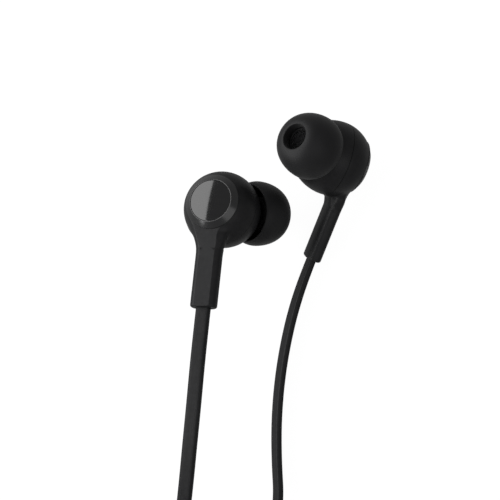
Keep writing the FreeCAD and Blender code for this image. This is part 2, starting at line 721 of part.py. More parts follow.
def plug(place):
    """Three-contact plug in a moulded grip; Z runs from the cord to the tip."""
    base = "grip_length"
    first_band = "grip_length + plug_length - tip_contact - 2 * plug_band - ring_contact"
    ring_start = f"{first_band} + plug_band"
    second_band = f"{ring_start} + ring_contact"
    tip_start = f"{second_band} + plug_band"
    end = "grip_length + plug_length"
    shank = "plug_radius + 0.3"
    hold = "grip_length - grip_hold"
    grip = turned("grip_body", [
        ("0", "0"), ("grip_neck", "0"), ("grip_neck + 0.25", "grip_neck_length - 0.6"),
        ("grip_radius", "grip_neck_length + 0.6"), ("grip_radius", f"{base} - 0.3"),
        ("grip_radius - 0.3", base), ("0", base)])
    socket = box("plug_cord_socket", ("-cord_width / 2 - cord_gap", "-cord_thickness / 2 - cord_gap", "-1"),
                 ("cord_width / 2 + cord_gap", "cord_thickness / 2 + cord_gap", "cord_socket"))
    bore = step("shank_bore", "0", f"{shank} + fit_gap", f"{hold} - fit_gap", FAR + " + grip_length")
    inner = "tube_radius + fit_gap"
    pieces = {
        "plug_grip": cut("grip_solid", grip, [socket, bore]),
        "plug_sleeve": turned("sleeve_contact", [
            (inner, hold), (shank, hold), (shank, base), ("plug_radius", base), ("plug_radius", first_band),
            (inner, first_band)]),
        "plug_ring": step("middle_contact", inner, "plug_radius", ring_start, second_band),
        "plug_tip": turned("tip_pin", [
            ("0", hold), ("pin_radius", hold), ("pin_radius", tip_start), ("plug_radius - 0.25", tip_start),
            ("plug_radius - 0.5", f"{tip_start} + 1.1"), ("plug_radius", f"{tip_start} + 1.9"),
            ("plug_radius", f"{tip_start} + 2.3"), ("0.5", end), ("0", end)]),
    }
    bands = combine("Fuse", "bands", [
        step("band_tube", "pin_radius + fit_gap", "tube_radius", hold, second_band),
        step("rear_band", "pin_radius + fit_gap", "plug_radius", first_band, ring_start),
        step("front_band", "pin_radius + fit_gap", "plug_radius", second_band, tip_start)])
    pieces["plug_insulators"] = bands
    for name, piece in pieces.items():
        keep(name, piece, place)


def tie():
    """Strap round the coil's three layers at one place, closed on itself; X runs outwards."""
    innermost = "branch_radius - 0.75 * turn_pitch - 2 * turn_pitch * (tie_angle + 732 - 135) / 360"
    inner = f"{innermost} - cord_thickness / 2 - tie_slack - tie_width ^ 2 / (8 * ({innermost}))"
    outer = "trunk_radius + cord_thickness / 2 + tie_slack"
    low, high = "coil_lift - tie_slack", "coil_lift + 2 * layer_step + cord_width + tie_slack"
    around = box("tie_around", (f"{inner} - tie_thickness", "-tie_width / 2", f"{low} - tie_thickness"),
                 (f"{outer} + tie_thickness", "tie_width / 2", f"{high} + tie_thickness"))
    within = box("tie_within", (inner, "-tie_width", low), (outer, "tie_width", high))
    strap = cut("tie_strap", around, [within])
    place = Placement(about_coil(0, 0, 0), Rotation(UPRIGHT, size("tie_angle")))
    keep("cord_tie", strap, place)


def least_gaps():
    """Print the least room between two stretches of the upright cord and between turns of one, on points."""
    points = {}
    for label, (length, edges) in CORD_LINES.items():
        gone, points[label] = 0.0, []
        for edge in edges:
            count = max(1, round(edge.Length))
            for i in range(count):
                at = edge.valueAt(edge.getParameterByLength(edge.Length * i / count))
                points[label].append((gone + edge.Length * i / count, at.x, at.y, at.z))
            gone += edge.Length
    thick, wide = size("cord_thickness"), size("cord_width")
    labels = list(points)
    for i, first in enumerate(labels):
        for second in labels[i:]:
            least = 99.0
            for s, x, y, z in points[first]:
                for t, u, v, w in points[second]:
                    if first == second and abs(s - t) < 20:
                        continue
                    across = max(0.0, math.hypot(x - u, y - v) - thick)
                    least = min(least, math.hypot(across, max(0.0, abs(z - w) - wide)))
            if least < 3:
                print(f"least gap {first} to {second}: {least:.2f}")


def ear_seat(ear):
    """Where an earpiece lies: the place and turn of its bulb's centre."""
    return Placement(
        Vector(size(ear + "x"), size(ear + "y"), size(ear + "z")),
        Rotation(size(ear + "yaw"), size(ear + "pitch"), size(ear + "roll")),
    )


for ear, side in (("right_", -1), ("left_", 1)):
    seat = ear_seat(ear)
    axis = nozzle_frame(side)
    keep(ear + "rear_housing", rear_housing(ear), seat)
    keep(ear + "front_housing", front_housing(ear, axis), seat)
    ring = turned(ear + "ring", [
        ("disc_radius - ring_ledge", SEAT), ("ring_radius - ring_spigot_wall", SEAT),
        ("ring_radius - ring_spigot_wall", CAP_FLAT), ("ring_radius", CAP_FLAT),
        ("ring_radius", f"({CAP_FLAT}) + ring_edge"), ("disc_radius + fit_gap + 0.1", DISC_FACE),
        ("disc_radius + fit_gap", DISC_FACE), ("disc_radius + fit_gap", f"({DISC_FACE}) - disc_thickness"),
        ("disc_radius - ring_ledge", f"({DISC_FACE}) - disc_thickness")])
    keep(ear + "cap_ring", ring, seat.multiply(Placement(Vector(), ALONG_CAP)))
    disc = turned(ear + "disc", [
        ("0", f"({DISC_FACE}) - disc_thickness"), ("disc_radius", f"({DISC_FACE}) - disc_thickness"),
        ("disc_radius", f"({DISC_FACE}) - 0.02",
         "(disc_radius ^ 2 + (disc_dome + 0.02) ^ 2) / (2 * (disc_dome + 0.02))", 1),
        ("0", f"({DISC_FACE}) + disc_dome")])
    keep(ear + "cap_disc", disc, seat.multiply(Placement(Vector(), ALONG_CAP)))
    tip = doc.addObject("Part::Feature", ear + "tip")
    tip.Shape = ear_tip_shape()
    room = ovoid(ear + "tip_room", "bulb_radius + tip_rest_gap", "front_depth + tip_rest_gap")
    room.Placement = axis.inverse().multiply(room.Placement)
    keep(ear + "ear_tip", cut(ear + "tip_on_bulb", tip, [room]), seat.multiply(axis))
    mesh = step(ear + "mesh", "0", "mesh_radius", "nozzle_end - mesh_thickness", "nozzle_end")
    keep(ear + "nozzle_mesh", mesh, seat.multiply(axis))
    driver(ear, seat)
    wiring(ear, seat)

# The cord, from each stem through the coil to the splitter, and from there to the plug. The points of its free
# stretches are chosen by hand from the photograph's view of it, and past that view by where it has to go.
table = size("cord_width / 2 + cord_lean_room")
layers = [size(f"coil_lift + cord_width / 2 + {i} * layer_step") for i in range(4)]
splitter_turn = size("splitter_angle")
splitter_way = Rotation(UPRIGHT, splitter_turn + 90).multVec(Vector(1, 0, 0))
splitter_middle = Rotation(UPRIGHT, splitter_turn).multVec(Vector(size("splitter_radius"), 0, 0))
splitter_start = about_coil(splitter_middle.x, splitter_middle.y, size("splitter_height / 2"))
splitter_start -= splitter_way * size("splitter_length / 2")
splitter_end = splitter_start + splitter_way * size("splitter_length")
plug_start, plug_way = about_coil(3.5, -25.35, size("grip_radius")), Vector(1, 0, 0)

free_points = {
    "right_": [
        Vector(-15.4, -28.7, 22.2), Vector(-16.05, -36.0, 22.4), Vector(-16.8, -43.2, 21.2),
        Vector(-17.5, -50.0, 18.8), Vector(-18.4, -57.5, 15.2), Vector(-19.3, -65.5, 11.6),
        Vector(-19.8, -74.0, 9.6),
    ],
    "left_": [
        Vector(3.0, -18.9, 1.75), Vector(1.7, -24.2, table), Vector(0.65, -29.8, table),
        Vector(-0.1, -35.8, table), Vector(-0.5, -42.6, table), Vector(-0.4, -49.8, table),
        Vector(0.0, -56.5, 2.1), Vector(-1.1, -63.4, 5.0), Vector(-4.5, -70.4, 8.2),
    ],
}
lead_out = {"right_": 8.0, "left_": 7.0}
untwisting = {"right_": (0.58, 0.95), "left_": (0.66, 0.96)}
outer_lane, winding = size("branch_radius"), size("branch_turns")
branches = {
    "right_": branch_stations(180, outer_lane, winding),
    "left_": branch_stations(135, outer_lane - size("0.75 * turn_pitch"), winding + 0.125),
}
pair_end = (wound(branches["right_"])[2][0] + wound(branches["left_"])[2][0]) * 0.5
pair_way = wound(branches["right_"])[2][1]
pair = [
    pair_end, pair_end + pair_way * 6.5,
    about_coil(6.9, -14.3, layers[3] + 0.1), about_coil(13.1, -15.7, layers[3] - 0.1),
    about_coil(19.0, -14.6, 10.4), about_coil(24.0, -10.9, 7.3), about_coil(27.9, -5.2, 4.0),
    splitter_start - splitter_way * 8,
    splitter_start + splitter_way * size("splitter_socket"),
]
for ear, side in (("right_", -1), ("left_", 1)):
    seat = ear_seat(ear)
    start = seat.multVec(Vector(0, size("stem_offset"), -size("stem_reach - cord_socket")))
    way, thin = seat.Rotation.multVec(-UPRIGHT), seat.Rotation.multVec(Vector(0, 1, 0))
    edges, (entry, heading), after = wound(branches[ear])
    loose(ear + "cord", [start, start + way * lead_out[ear]] + free_points[ear] + [entry - heading * 7, entry],
          thin, untwisting[ear])
    coiled(ear + "cord_coil", edges)
    loose(ear + "cord_end", beside(pair, side * size("turn_pitch / 2")))

edges, (entry, heading), (leave, leaving) = wound(trunk_stations())
level = splitter_end.z
loose("main_cord_start", [
    splitter_end - splitter_way * size("splitter_socket"), splitter_end + splitter_way * 3.9,
    about_coil(9.75, 24.75, level), about_coil(4.56, 25.1, level), about_coil(-0.26, 23.16, level),
    entry - heading * 4.5, entry])
coiled("main_cord_coil", edges)
loose("main_cord_end", [
    leave, leave + leaving * 7, leave + leaving * 12.5 - UPRIGHT * 1.1, about_coil(-5.0, -23.8, 3.2),
    plug_start - plug_way * 2.7, plug_start + plug_way * size("cord_socket")])
splitter(Placement(splitter_start, Rotation(splitter_way.cross(UPRIGHT) * -1, UPRIGHT, splitter_way, "ZXY")))
plug(Placement(plug_start, Rotation(UPRIGHT, plug_way.cross(UPRIGHT) * -1, plug_way, "ZXY")))
tie()
least_gaps()

doc.recompute()
os.makedirs("parts", exist_ok=True)
for item in doc.Objects:
    if "Invalid" in item.State or "Error" in item.State:
        raise SystemExit(f"{item.Name} failed: {item.State}")
for label, item in NODES.items():
    if item.Shape.isNull() or not item.Shape.isValid():
        raise SystemExit(f"{label} has no valid shape")
    item.Shape.exportStep(f"parts/{label}.step")
    print(f"{label}: {len(item.Shape.Solids)} solids, {item.Shape.Volume:.2f} mm3")
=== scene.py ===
import math

import bmesh
import bpy
import numpy as np
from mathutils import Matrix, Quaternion, Vector


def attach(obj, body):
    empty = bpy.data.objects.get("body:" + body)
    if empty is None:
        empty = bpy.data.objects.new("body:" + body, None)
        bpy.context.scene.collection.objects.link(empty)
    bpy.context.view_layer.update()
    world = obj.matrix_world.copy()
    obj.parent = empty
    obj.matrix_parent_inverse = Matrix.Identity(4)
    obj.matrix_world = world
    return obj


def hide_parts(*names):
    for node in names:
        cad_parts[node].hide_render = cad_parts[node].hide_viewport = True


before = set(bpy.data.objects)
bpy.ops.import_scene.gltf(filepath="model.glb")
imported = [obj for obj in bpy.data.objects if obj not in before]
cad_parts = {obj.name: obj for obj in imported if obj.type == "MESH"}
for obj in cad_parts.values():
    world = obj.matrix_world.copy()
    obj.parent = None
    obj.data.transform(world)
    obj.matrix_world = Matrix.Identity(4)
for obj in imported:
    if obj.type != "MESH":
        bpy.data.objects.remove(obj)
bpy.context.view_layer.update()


# The photograph looks straight down on a pair of earphones that lie on a white table. Lengths in this file
# are in millimetres, and become Blender's metres where a mesh is made.
MM = 0.001
eye = bpy.data.objects.new("eye", bpy.data.cameras.new("eye"))
eye.data.sensor_width = 36.0
eye.data.lens = 104.49
eye.data.clip_start = 0.01
eye.location = (-5.7 * MM, -7.41 * MM, 288.7 * MM)
bpy.context.collection.objects.link(eye)
bpy.context.scene.camera = eye
bpy.context.scene.view_settings.view_transform = "Standard"


# The cord. One flat cord of a black elastomer, extruded over two screened wires: a branch from each stem to
# the splitter, and the trunk from there to the plug. It leaves the stems flat as their sockets are, and turns
# on edge to be wound up: the trunk inwards on the first layer and out on the second, and both branches
# inwards side by side on the third and out over the top.
CORD_WIDTH, CORD_THICKNESS, CORD_CORNER, LEANING = 2.8, 1.3, 0.46, 14
PITCH, LAYER, FIRST_LAYER = 1.8, 3.5, 2.0
SECOND_LAYER, THIRD_LAYER, TOP_LAYER = FIRST_LAYER + LAYER, FIRST_LAYER + 2 * LAYER, FIRST_LAYER + 3 * LAYER
TRUNK_RADIUS, TRUNK_TURNS, TRUNK_ENTRY = 18.5, 3.875, 120
BRANCH_RADIUS, BRANCH_TURNS = 18.4, 1.8333
SPLITTER_RADIUS, SPLITTER_ANGLE, SPLITTER_LENGTH = 24.2, 34.0, 13.0
COIL_MIDDLE = np.array([-1.7, -93.4, 0.0])


def paint(code):
    """The linear colour of an sRGB hex value: a power of 2.4 but for the darkest part, which is straight."""
    part = np.array([int(code[i:i + 2], 16) / 255 for i in (1, 3, 5)])
    linear = np.where(part <= 0.04045, part / 12.92, ((part + 0.055) / 1.055) ** 2.4)
    return (*linear, 1.0)


def node(tree, kind, inputs=(), **settings):
    """Add a node, give it its settings, and set each input to a value or link it to an output."""
    made = tree.nodes.new(kind)
    for name, value in settings.items():
        setattr(made, name, value)
    for name, value in dict(inputs).items():
        if isinstance(value, bpy.types.NodeSocket):
            tree.links.new(value, made.inputs[name])
        else:
            made.inputs[name].default_value = value
    return made


def blank(name):
    """A material with nothing in it but its output."""
    material = bpy.data.materials.new(name)
    material.use_nodes = True
    material.node_tree.nodes.clear()
    return material, material.node_tree


def close(tree, surface):
    """Join a shader to the material's output."""
    node(tree, "ShaderNodeOutputMaterial", {"Surface": surface})


def coat(tree, inputs):
    """The shader of a plain surface with these inputs, joined to the material's output."""
    close(tree, node(tree, "ShaderNodeBsdfPrincipled", inputs).outputs[0])


def noise(tree, place, scale, detail=2.0):
    """A noise at a place, of so many waves in a metre."""
    return node(tree, "ShaderNodeTexNoise", {"Vector": place, "Scale": scale, "Detail": detail}).outputs[0]


def spread(tree, value, start, end, low, high):
    """A value stretched from the range between start and end to that between low and high."""
    return node(tree, "ShaderNodeMapRange", {"Value": value, "From Min": start, "From Max": end,
                                             "To Min": low, "To Max": high}).outputs[0]


def bumped(tree, height, strength, distance):
    """The surface's normal with a relief in metres."""
    inputs = {"Height": height, "Strength": strength, "Distance": distance}
    return node(tree, "ShaderNodeBump", inputs).outputs[0]


def speckled(tree, place, dark, pale, grain):
    """Colour that wavers between two near shades with a noise whose grain is given in millimetres."""
    share = spread(tree, noise(tree, place, 1000 / grain, 3.0), 0.25, 0.75, 0.0, 1.0)
    mix = node(tree, "ShaderNodeMix", {"Factor": share}, data_type="RGBA")
    mix.inputs[6].default_value = paint(dark)
    mix.inputs[7].default_value = paint(pale)
    return mix.outputs[2]


def eased(share):
    """A smooth step from 0 to 1."""
    return share * share * (3 - 2 * share)


def about_coil(x, y, z):
    """A point counted from the middle of the coil."""
    return COIL_MIDDLE + [x, y, z]


def on_coil(angle, radius, height):
    """A point of the coil at an angle in degrees, and the way on from there round the coil."""
    turn = math.radians(angle)
    return (about_coil(radius * math.cos(turn), radius * math.sin(turn), height),
            np.array([-math.sin(turn), math.cos(turn), 0.0]))


def winding(stations, per_turn=24):
    """Points of a coil between stations of (angle in degrees, radius, height), straight in all three. The
    radius is a little larger, because the spline runs inside its control points."""
    angle, radius, height = np.array(stations).T
    turn = np.linspace(angle[0], angle[-1], round((angle[-1] - angle[0]) / 360 * per_turn) + 1)
    out = np.interp(turn, angle, radius) / (0.75 + 0.25 * math.cos(2 * math.pi / per_turn))
    around = np.radians(turn)
    up = np.interp(turn, angle, height)
    return COIL_MIDDLE + np.stack([out * np.cos(around), out * np.sin(around), up], axis=1)


def limp_line(points, spacing=0.7):
    """The smooth line of a limp cord whose control points these are, read from its spline at even spacing."""
    curve = bpy.data.curves.new("line", "CURVE")
    curve.dimensions = "3D"
    spline = curve.splines.new("NURBS")
    spline.points.add(len(points) - 1)
    spline.points.foreach_set("co", np.column_stack([points, np.ones(len(points))]).ravel())
    spline.order_u = 3
    spline.use_endpoint_u = True
    spline.resolution_u = 12
    holder = bpy.data.objects.new("line", curve)
    mesh = bpy.data.meshes.new_from_object(holder)
    line = np.empty(len(mesh.vertices) * 3)
    mesh.vertices.foreach_get("co", line)
    line = line.reshape(-1, 3)
    bpy.data.objects.remove(holder)
    gone = run_length(line)
    even = np.linspace(0, gone[-1], round(gone[-1] / spacing) + 1)
    return np.stack([np.interp(even, gone, line[:, i]) for i in range(3)], axis=1)


def run_length(line):
    """Length gone at each point of a line."""
    return np.concatenate([[0], np.cumsum(np.linalg.norm(np.diff(line, axis=0), axis=1))])


def rounded_outline(width, depth, corner, per_corner=6, per_side=3):
    """Closed outline of a rectangle with rounded corners, counter-clockwise: quarter circles and sides."""
    x, y = width / 2 - corner, depth / 2 - corner
    middles = ((x, y), (-x, y), (-x, -y), (x, -y))
    points = []
    for i in range(4):
        swing = np.radians(90 * i + np.linspace(0, 90, per_corner))
        bend = corner * np.stack([np.cos(swing), np.sin(swing)], axis=1)
        arc, following = middles[i] + bend, middles[(i + 1) % 4] + bend[-1]
        share = np.linspace(0, 1, per_side + 2)[1:-1, None]
        points += [arc, arc[-1] + (following - arc[-1]) * share]
    return np.concatenate(points)


def unit(vectors):
    """Each row at length one."""
    return vectors / np.linalg.norm(vectors, axis=-1, keepdims=True)


def ring_faces(rows, around):
    """Faces between rows of points that each close on themselves; they face outwards where the points go
    counter-clockwise, seen against the way from row to row."""
    row, place = np.meshgrid(np.arange(rows - 1), np.arange(around), indexing="ij")
    after = (place + 1) % around
    corners = [row * around + place, row * around + after]
    corners += [(row + 1) * around + after, (row + 1) * around + place]
    return np.stack(corners, axis=-1).reshape(-1, 4).tolist()


def shown(name, mesh, sharp):
    """An object of a mesh, smooth but for edges sharper than an angle in degrees."""
    mesh.shade_smooth()
    mesh.set_sharp_from_angle(angle=math.radians(sharp))
    piece = bpy.data.objects.new(name, mesh)
    bpy.context.collection.objects.link(piece)
    return piece


def mesh_piece(name, points, faces):
    """A mesh object from rows of points in millimetres and faces."""
    mesh = bpy.data.meshes.new(name)
    mesh.from_pydata(points.reshape(-1, 3) * MM, [], faces)
    return shown(name, mesh, 40)


def end_caps(rows, count):
    """The faces that close the first and the last of some rows of points."""
    return [list(range(count))[::-1], [(rows - 1) * count + i for i in range(count)]]


def swept(name, line, across, outline, closed=False):
    """A section carried along a line, with its second axis along across and its first at right angles to
    both. Its UV map counts centimetres along the line, and once round the section."""
    way = unit(np.gradient(line, axis=0))
    if closed:
        way = unit(np.roll(line, -1, axis=0) - np.roll(line, 1, axis=0))
    across = unit(across - np.sum(across * way, axis=1, keepdims=True) * way)
    wide = np.cross(across, way)
    rows = line[:, None] + outline[None, :, :1] * wide[:, None] + outline[None, :, 1:] * across[:, None]
    count = len(outline)
    gone = run_length(line) / 10
    if closed:
        rows = np.concatenate([rows, rows[:1]])
        gone = np.append(gone, gone[-1] + np.linalg.norm(line[0] - line[-1]) / 10)
    faces = ring_faces(len(rows), count)
    along = np.stack([gone[:-1], gone[:-1], gone[1:], gone[1:]], axis=-1)[:, None, :].repeat(count, axis=1)
    place = np.arange(count) / count
    around = np.stack([place, place + 1 / count, place + 1 / count, place], axis=-1)[None].repeat(
        len(rows) - 1, axis=0)
    uv = np.stack([along, around], axis=-1).reshape(-1, 2)
    if closed:
        last = (len(rows) - 1) * count
        faces = [[point % last for point in face] for face in faces]
        rows = rows[:-1]
    else:
        faces += end_caps(len(rows), count)
        uv = np.concatenate([uv, np.zeros((2 * count, 2))])
    piece = mesh_piece(name, rows, faces)
    piece.data.uv_layers.new(name="UVMap").data.foreach_set("uv", uv.ravel())
    return piece


def flat_cord(name, line, thin=None, untwist=(0.0, 1.0), lean=0.0):
    """The flat section carried along a line. It stands on edge, but for a start with its thickness along
    thin, from which it leans away a little and then turns upright between two lengths."""
    way = unit(np.gradient(line, axis=0))
    level = unit(np.cross([0, 0, 1], way))
    raised = np.cross(way, level)
    roll = np.zeros(len(line))
    if thin is not None:
        gone = run_length(line)
        start = math.atan2(thin @ raised[0], thin @ level[0])
        start = (start + math.pi / 2) % math.pi - math.pi / 2
        leant = start + math.copysign(math.radians(lean), start) * eased(np.clip(gone / LEANING, 0, 1))
        roll = leant * (1 - eased(np.clip((gone - untwist[0]) / (untwist[1] - untwist[0]), 0, 1)))
    across = level * np.cos(roll)[:, None] + raised * np.sin(roll)[:, None]
    return swept(name, line, across, rounded_outline(CORD_WIDTH, CORD_THICKNESS, CORD_CORNER))


def turned(yaw, pitch, roll):
    """Matrix of a yaw about Z after a pitch about Y after a roll about X, in degrees."""
    angles = np.radians([yaw, pitch, roll])
    (cy, cp, cr), (sy, sp, sr) = np.cos(angles), np.sin(angles)
    about_z = np.array([[cy, -sy, 0], [sy, cy, 0], [0, 0, 1]])
    about_y = np.array([[cp, 0, sp], [0, 1, 0], [-sp, 0, cp]])
    about_x = np.array([[1, 0, 0], [0, cr, -sr], [0, sr, cr]])
    return about_z @ about_y @ about_x


# How each earpiece lies: the turn of its own axes and the middle of its bulb. In these axes Y leaves the
# middle of the cap, Z is up from the stem, and X points to the side.
LIES = {
    "right": (turned(179.7, 20.9, 105.4), np.array([-11.05, 0.3, 11.27])),
    "left": (turned(-48.9, -68.0, -60.8), np.array([10.35, 10.4, 7.41])),
}
SIDE = {"right": -1, "left": 1}
# Where the stem stands and how far it reaches from the bulb's middle, how deep the cord sits in it, and the
# depth and the play of the mouth that is drawn round the cord.
STEM_OFFSET, STEM_REACH, SOCKET, MOUTH_DEPTH, MOUTH_ROOM = 3.73, 20.2, 3.0, 2.6, 0.2


def placed(ear, points):
    """Points of an earpiece's own axes, where that earpiece lies."""
    turn, middle = LIES[ear]
    return np.asarray(points) @ turn.T + middle


# The cord's black elastomer is matte, with the faint lengthwise lines that the extruder's die leaves, drawn
# about twice as wide as they are so that they show.
elastomer, tree = blank("extruded_elastomer_black")
place = node(tree, "ShaderNodeTexCoord")
die = node(tree, "ShaderNodeMapping", {"Vector": place.outputs["UV"], "Scale": (0.35, 46.0, 1.0)})
lines = noise(tree, die.outputs[0], 1.0)
grain = noise(tree, place.outputs["Object"], 9000.0)
surface = node(tree, "ShaderNodeMath", {0: lines, 1: grain}, operation="ADD")
coat(tree, {"Base Color": speckled(tree, place.outputs["Object"], "#141415", "#1b1b1c", 0.9),
            "Roughness": spread(tree, lines, 0.3, 0.7, 0.4, 0.52), "Specular IOR Level": 0.12,
            "Normal": bumped(tree, surface.outputs[0], 0.25, 0.00003)})

splitter_middle, splitter_way = on_coil(SPLITTER_ANGLE, SPLITTER_RADIUS, FIRST_LAYER)
splitter_start = splitter_middle - splitter_way * SPLITTER_LENGTH / 2
splitter_end = splitter_middle + splitter_way * SPLITTER_LENGTH / 2
plug_start = about_coil(3.5, -25.35, 3.1)

# The way of each branch from its stem to its coil, its straight lead out of the stem, the angle and radius at
# which it joins the coil, where it turns on edge, and how far it leans before that.
routes = {
    "right": [
        (-15.4, -28.7, 22.2), (-16.05, -36.0, 22.4), (-16.8, -43.2, 21.2), (-17.5, -50.0, 18.8),
        (-18.4, -57.5, 15.2), (-19.3, -65.5, 11.6), (-19.8, -74.0, 9.6),
    ],
    "left": [
        (3.0, -18.9, 1.75), (1.7, -24.2, 1.62), (0.65, -29.8, 1.62), (-0.1, -35.8, 1.62),
        (-0.5, -42.6, 1.62), (-0.4, -49.8, 1.62), (0.0, -56.5, 2.1), (-1.1, -63.4, 5.0), (-4.5, -70.4, 8.2),
    ],
}
lead_out = {"right": 8.0, "left": 7.0}
entry_angle = {"right": 180.0, "left": 135.0}
outer_radius = {"right": BRANCH_RADIUS, "left": BRANCH_RADIUS - 0.75 * PITCH}
untwists = {"right": (47.0, 77.0), "left": (54.0, 78.0)}
leans = {"right": 0.0, "left": 5.5}
cords = {}
for ear in SIDE:
    stem_way = LIES[ear][0] @ [0, 0, -1.0]
    start = placed(ear, [0, STEM_OFFSET, SOCKET - STEM_REACH])
    begin, outer = entry_angle[ear], outer_radius[ear]
    inward = BRANCH_TURNS * 360 + 180 - begin
    inner = outer - 2 * PITCH * inward / 360
    climb = [(begin + inward + 30 * i, inner - 0.3 * i, THIRD_LAYER + rise * LAYER)
             for i, rise in enumerate((0, 0.15, 0.5, 0.85, 1))]
    coil = winding([(begin, outer, THIRD_LAYER), *climb])
    entry, heading_in = on_coil(begin, outer, THIRD_LAYER)
    lane = SIDE[ear] * PITCH / 2
    middle, heading_out = on_coil(climb[-1][0], climb[-1][1] + lane, TOP_LAYER)
    over = np.array([
        middle, middle + heading_out * 6.5, about_coil(6.9, -14.3, TOP_LAYER + 0.1),
        about_coil(13.1, -15.7, TOP_LAYER - 0.1), about_coil(19.0, -14.6, 10.4), about_coil(24.0, -10.9, 7.3),
        about_coil(27.9, -5.2, 4.0), splitter_start - splitter_way * 8, splitter_start + splitter_way * 2.5])
    ways = np.concatenate([over[1:2] - over[:1], over[2:] - over[:-2], over[-1:] - over[-2:-1]])
    over = over + unit(np.cross([0, 0, 1], ways)) * lane
    line = limp_line(np.concatenate([
        [start, start + stem_way * lead_out[ear]], routes[ear], [entry - heading_in * 7], coil, over[1:]]))
    branch = flat_cord(f"{ear}_branch", line, LIES[ear][0] @ [0, 1.0, 0], untwists[ear], leans[ear])
    branch.data.materials.append(elastomer)
    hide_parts(f"{ear}_cord", f"{ear}_cord_coil", f"{ear}_cord_end")
    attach(branch, "earphones")
    cords[ear] = (branch, line)

inward, inner = TRUNK_TURNS * 360, TRUNK_RADIUS - TRUNK_TURNS * PITCH
climb = [(TRUNK_ENTRY + inward + 45 * i, inner - dip, FIRST_LAYER + rise * LAYER)
         for i, (dip, rise) in enumerate(((0, 0), (0.6, 0.15), (1.0, 0.5), (0.75, 0.85), (0, 1)))]
last_angle = climb[-1][0] + inward
coil = winding([(TRUNK_ENTRY, TRUNK_RADIUS, FIRST_LAYER), *climb, (last_angle, TRUNK_RADIUS, SECOND_LAYER)])
entry, heading_in = on_coil(TRUNK_ENTRY, TRUNK_RADIUS, FIRST_LAYER)
leave, heading_out = on_coil(last_angle, TRUNK_RADIUS, SECOND_LAYER)
line = limp_line(np.concatenate([
    [splitter_end - splitter_way * 2.5, splitter_end + splitter_way * 3.9, about_coil(9.75, 24.75, 2.0),
     about_coil(4.56, 25.1, 2.0), about_coil(-0.26, 23.16, 2.0), entry - heading_in * 4.5],
    coil,
    [leave + heading_out * 7, leave + heading_out * 12.5 - [0, 0, 1.1], about_coil(-5.0, -23.8, 3.2),
     plug_start - [2.7, 0, 0], plug_start + [3.0, 0, 0]]]))
trunk = flat_cord("trunk", line)
trunk.data.materials.append(elastomer)
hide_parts("main_cord_start", "main_cord_coil", "main_cord_end")
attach(trunk, "earphones")
cords["trunk"] = (trunk, line)


# The rear housing. One moulding of black ABS carries the cap seat and the stem, which flares into the bulb
# with a soft fillet. It has a thin wall, and ends at the parting line, where the front housing enters it.
BULB, REAR_DEPTH, FRONT_DEPTH, FLATTENING, WALL = 7.3, 7.5, 8.3, 0.6, 1.0
CAP_FLAT, CAP_SEAT, RING_RADIUS = 5.158, 4.358, 5.3
STEM_HALF_WIDTH, STEM_HALF_DEPTH, STEM_POWER, STEM_END_ROUND = 2.57, 1.55, 2.7, 0.45
FLARE_TOP, FLARE_BOTTOM, FLARE_SPREAD, FLARE_POWER = 4.6, 10.2, 2.0, 2.07
STEM_TOP, STEM_TOP_ROUND, FILLET, FILLET_ASIDE, FILLET_BELOW_CAP = 5.4, 2.4, 1.7, 0.8, 1.6
REAR_PARTING, FRONT_PARTING, POCKET_RADIUS, RING_SINK = 0.84, 0.76, 4.83, 0.03


def oval_arcs(across, depth):
    """The two arcs of an oval's profile: the radius of the one at the pole and of the larger one beside it,
    how far the larger one's middle is from the axis, and how high the other's is."""
    end = across - FLATTENING
    beside = ((depth - end) ** 2 + across ** 2 - end ** 2) / (2 * FLATTENING)
    return end, beside, across - beside, depth - end


def oval_distance(points, across, depth):
    """Distance from an oval round Y, less inside; its two arcs meet where they have the same direction."""
    end, beside, shift, raise_by = oval_arcs(across, depth)
    out, along = np.hypot(points[..., 0], points[..., 2]), np.abs(points[..., 1])
    at_pole = -shift * (along - raise_by) > raise_by * out
    return np.where(at_pole, np.hypot(out, along - raise_by) - end, np.hypot(out - shift, along) - beside)


def bulb_distance(points):
    """Distance from the whole bulb, which is deeper on the ear's side than on the cap's."""
    rear, front = (oval_distance(points, BULB, depth) for depth in (REAR_DEPTH, FRONT_DEPTH))
    return np.where(points[..., 1] > 0, rear, front)


def stem_distance(points):
    """Distance from the stem, in each level an oval between an ellipse and a rectangle, which spreads towards
    the bulb with a power of the height and draws in by a quarter circle at its end."""
    x, y, z = points[..., 0], points[..., 1] - STEM_OFFSET, points[..., 2]
    climb = np.clip((z + FLARE_BOTTOM) / (FLARE_BOTTOM - FLARE_TOP), 0, 1)
    to_end = np.clip(STEM_END_ROUND - (z + STEM_REACH), 0, STEM_END_ROUND)
    inset = STEM_END_ROUND - np.sqrt(np.maximum(STEM_END_ROUND ** 2 - to_end ** 2, 0))
    width = STEM_HALF_WIDTH + FLARE_SPREAD * climb ** FLARE_POWER - inset
    depth = STEM_HALF_DEPTH - inset
    across, through = np.abs(x) / width, np.abs(y) / depth
    level = np.maximum(across ** STEM_POWER + through ** STEM_POWER, 1e-6) ** (1 / STEM_POWER)
    to_side, to_face = ((share / level) ** (STEM_POWER - 1) for share in (across, through))
    return (level - 1) / np.maximum(np.hypot(to_side / width, to_face / depth), 0.1)


def blended(first, second, room):
    """The lesser of two distances, less a quarter of the room where they are the same, with a smooth fade."""
    share = np.maximum(room - np.abs(first - second), 0) / room
    return np.minimum(first, second) - share * share * room / 4


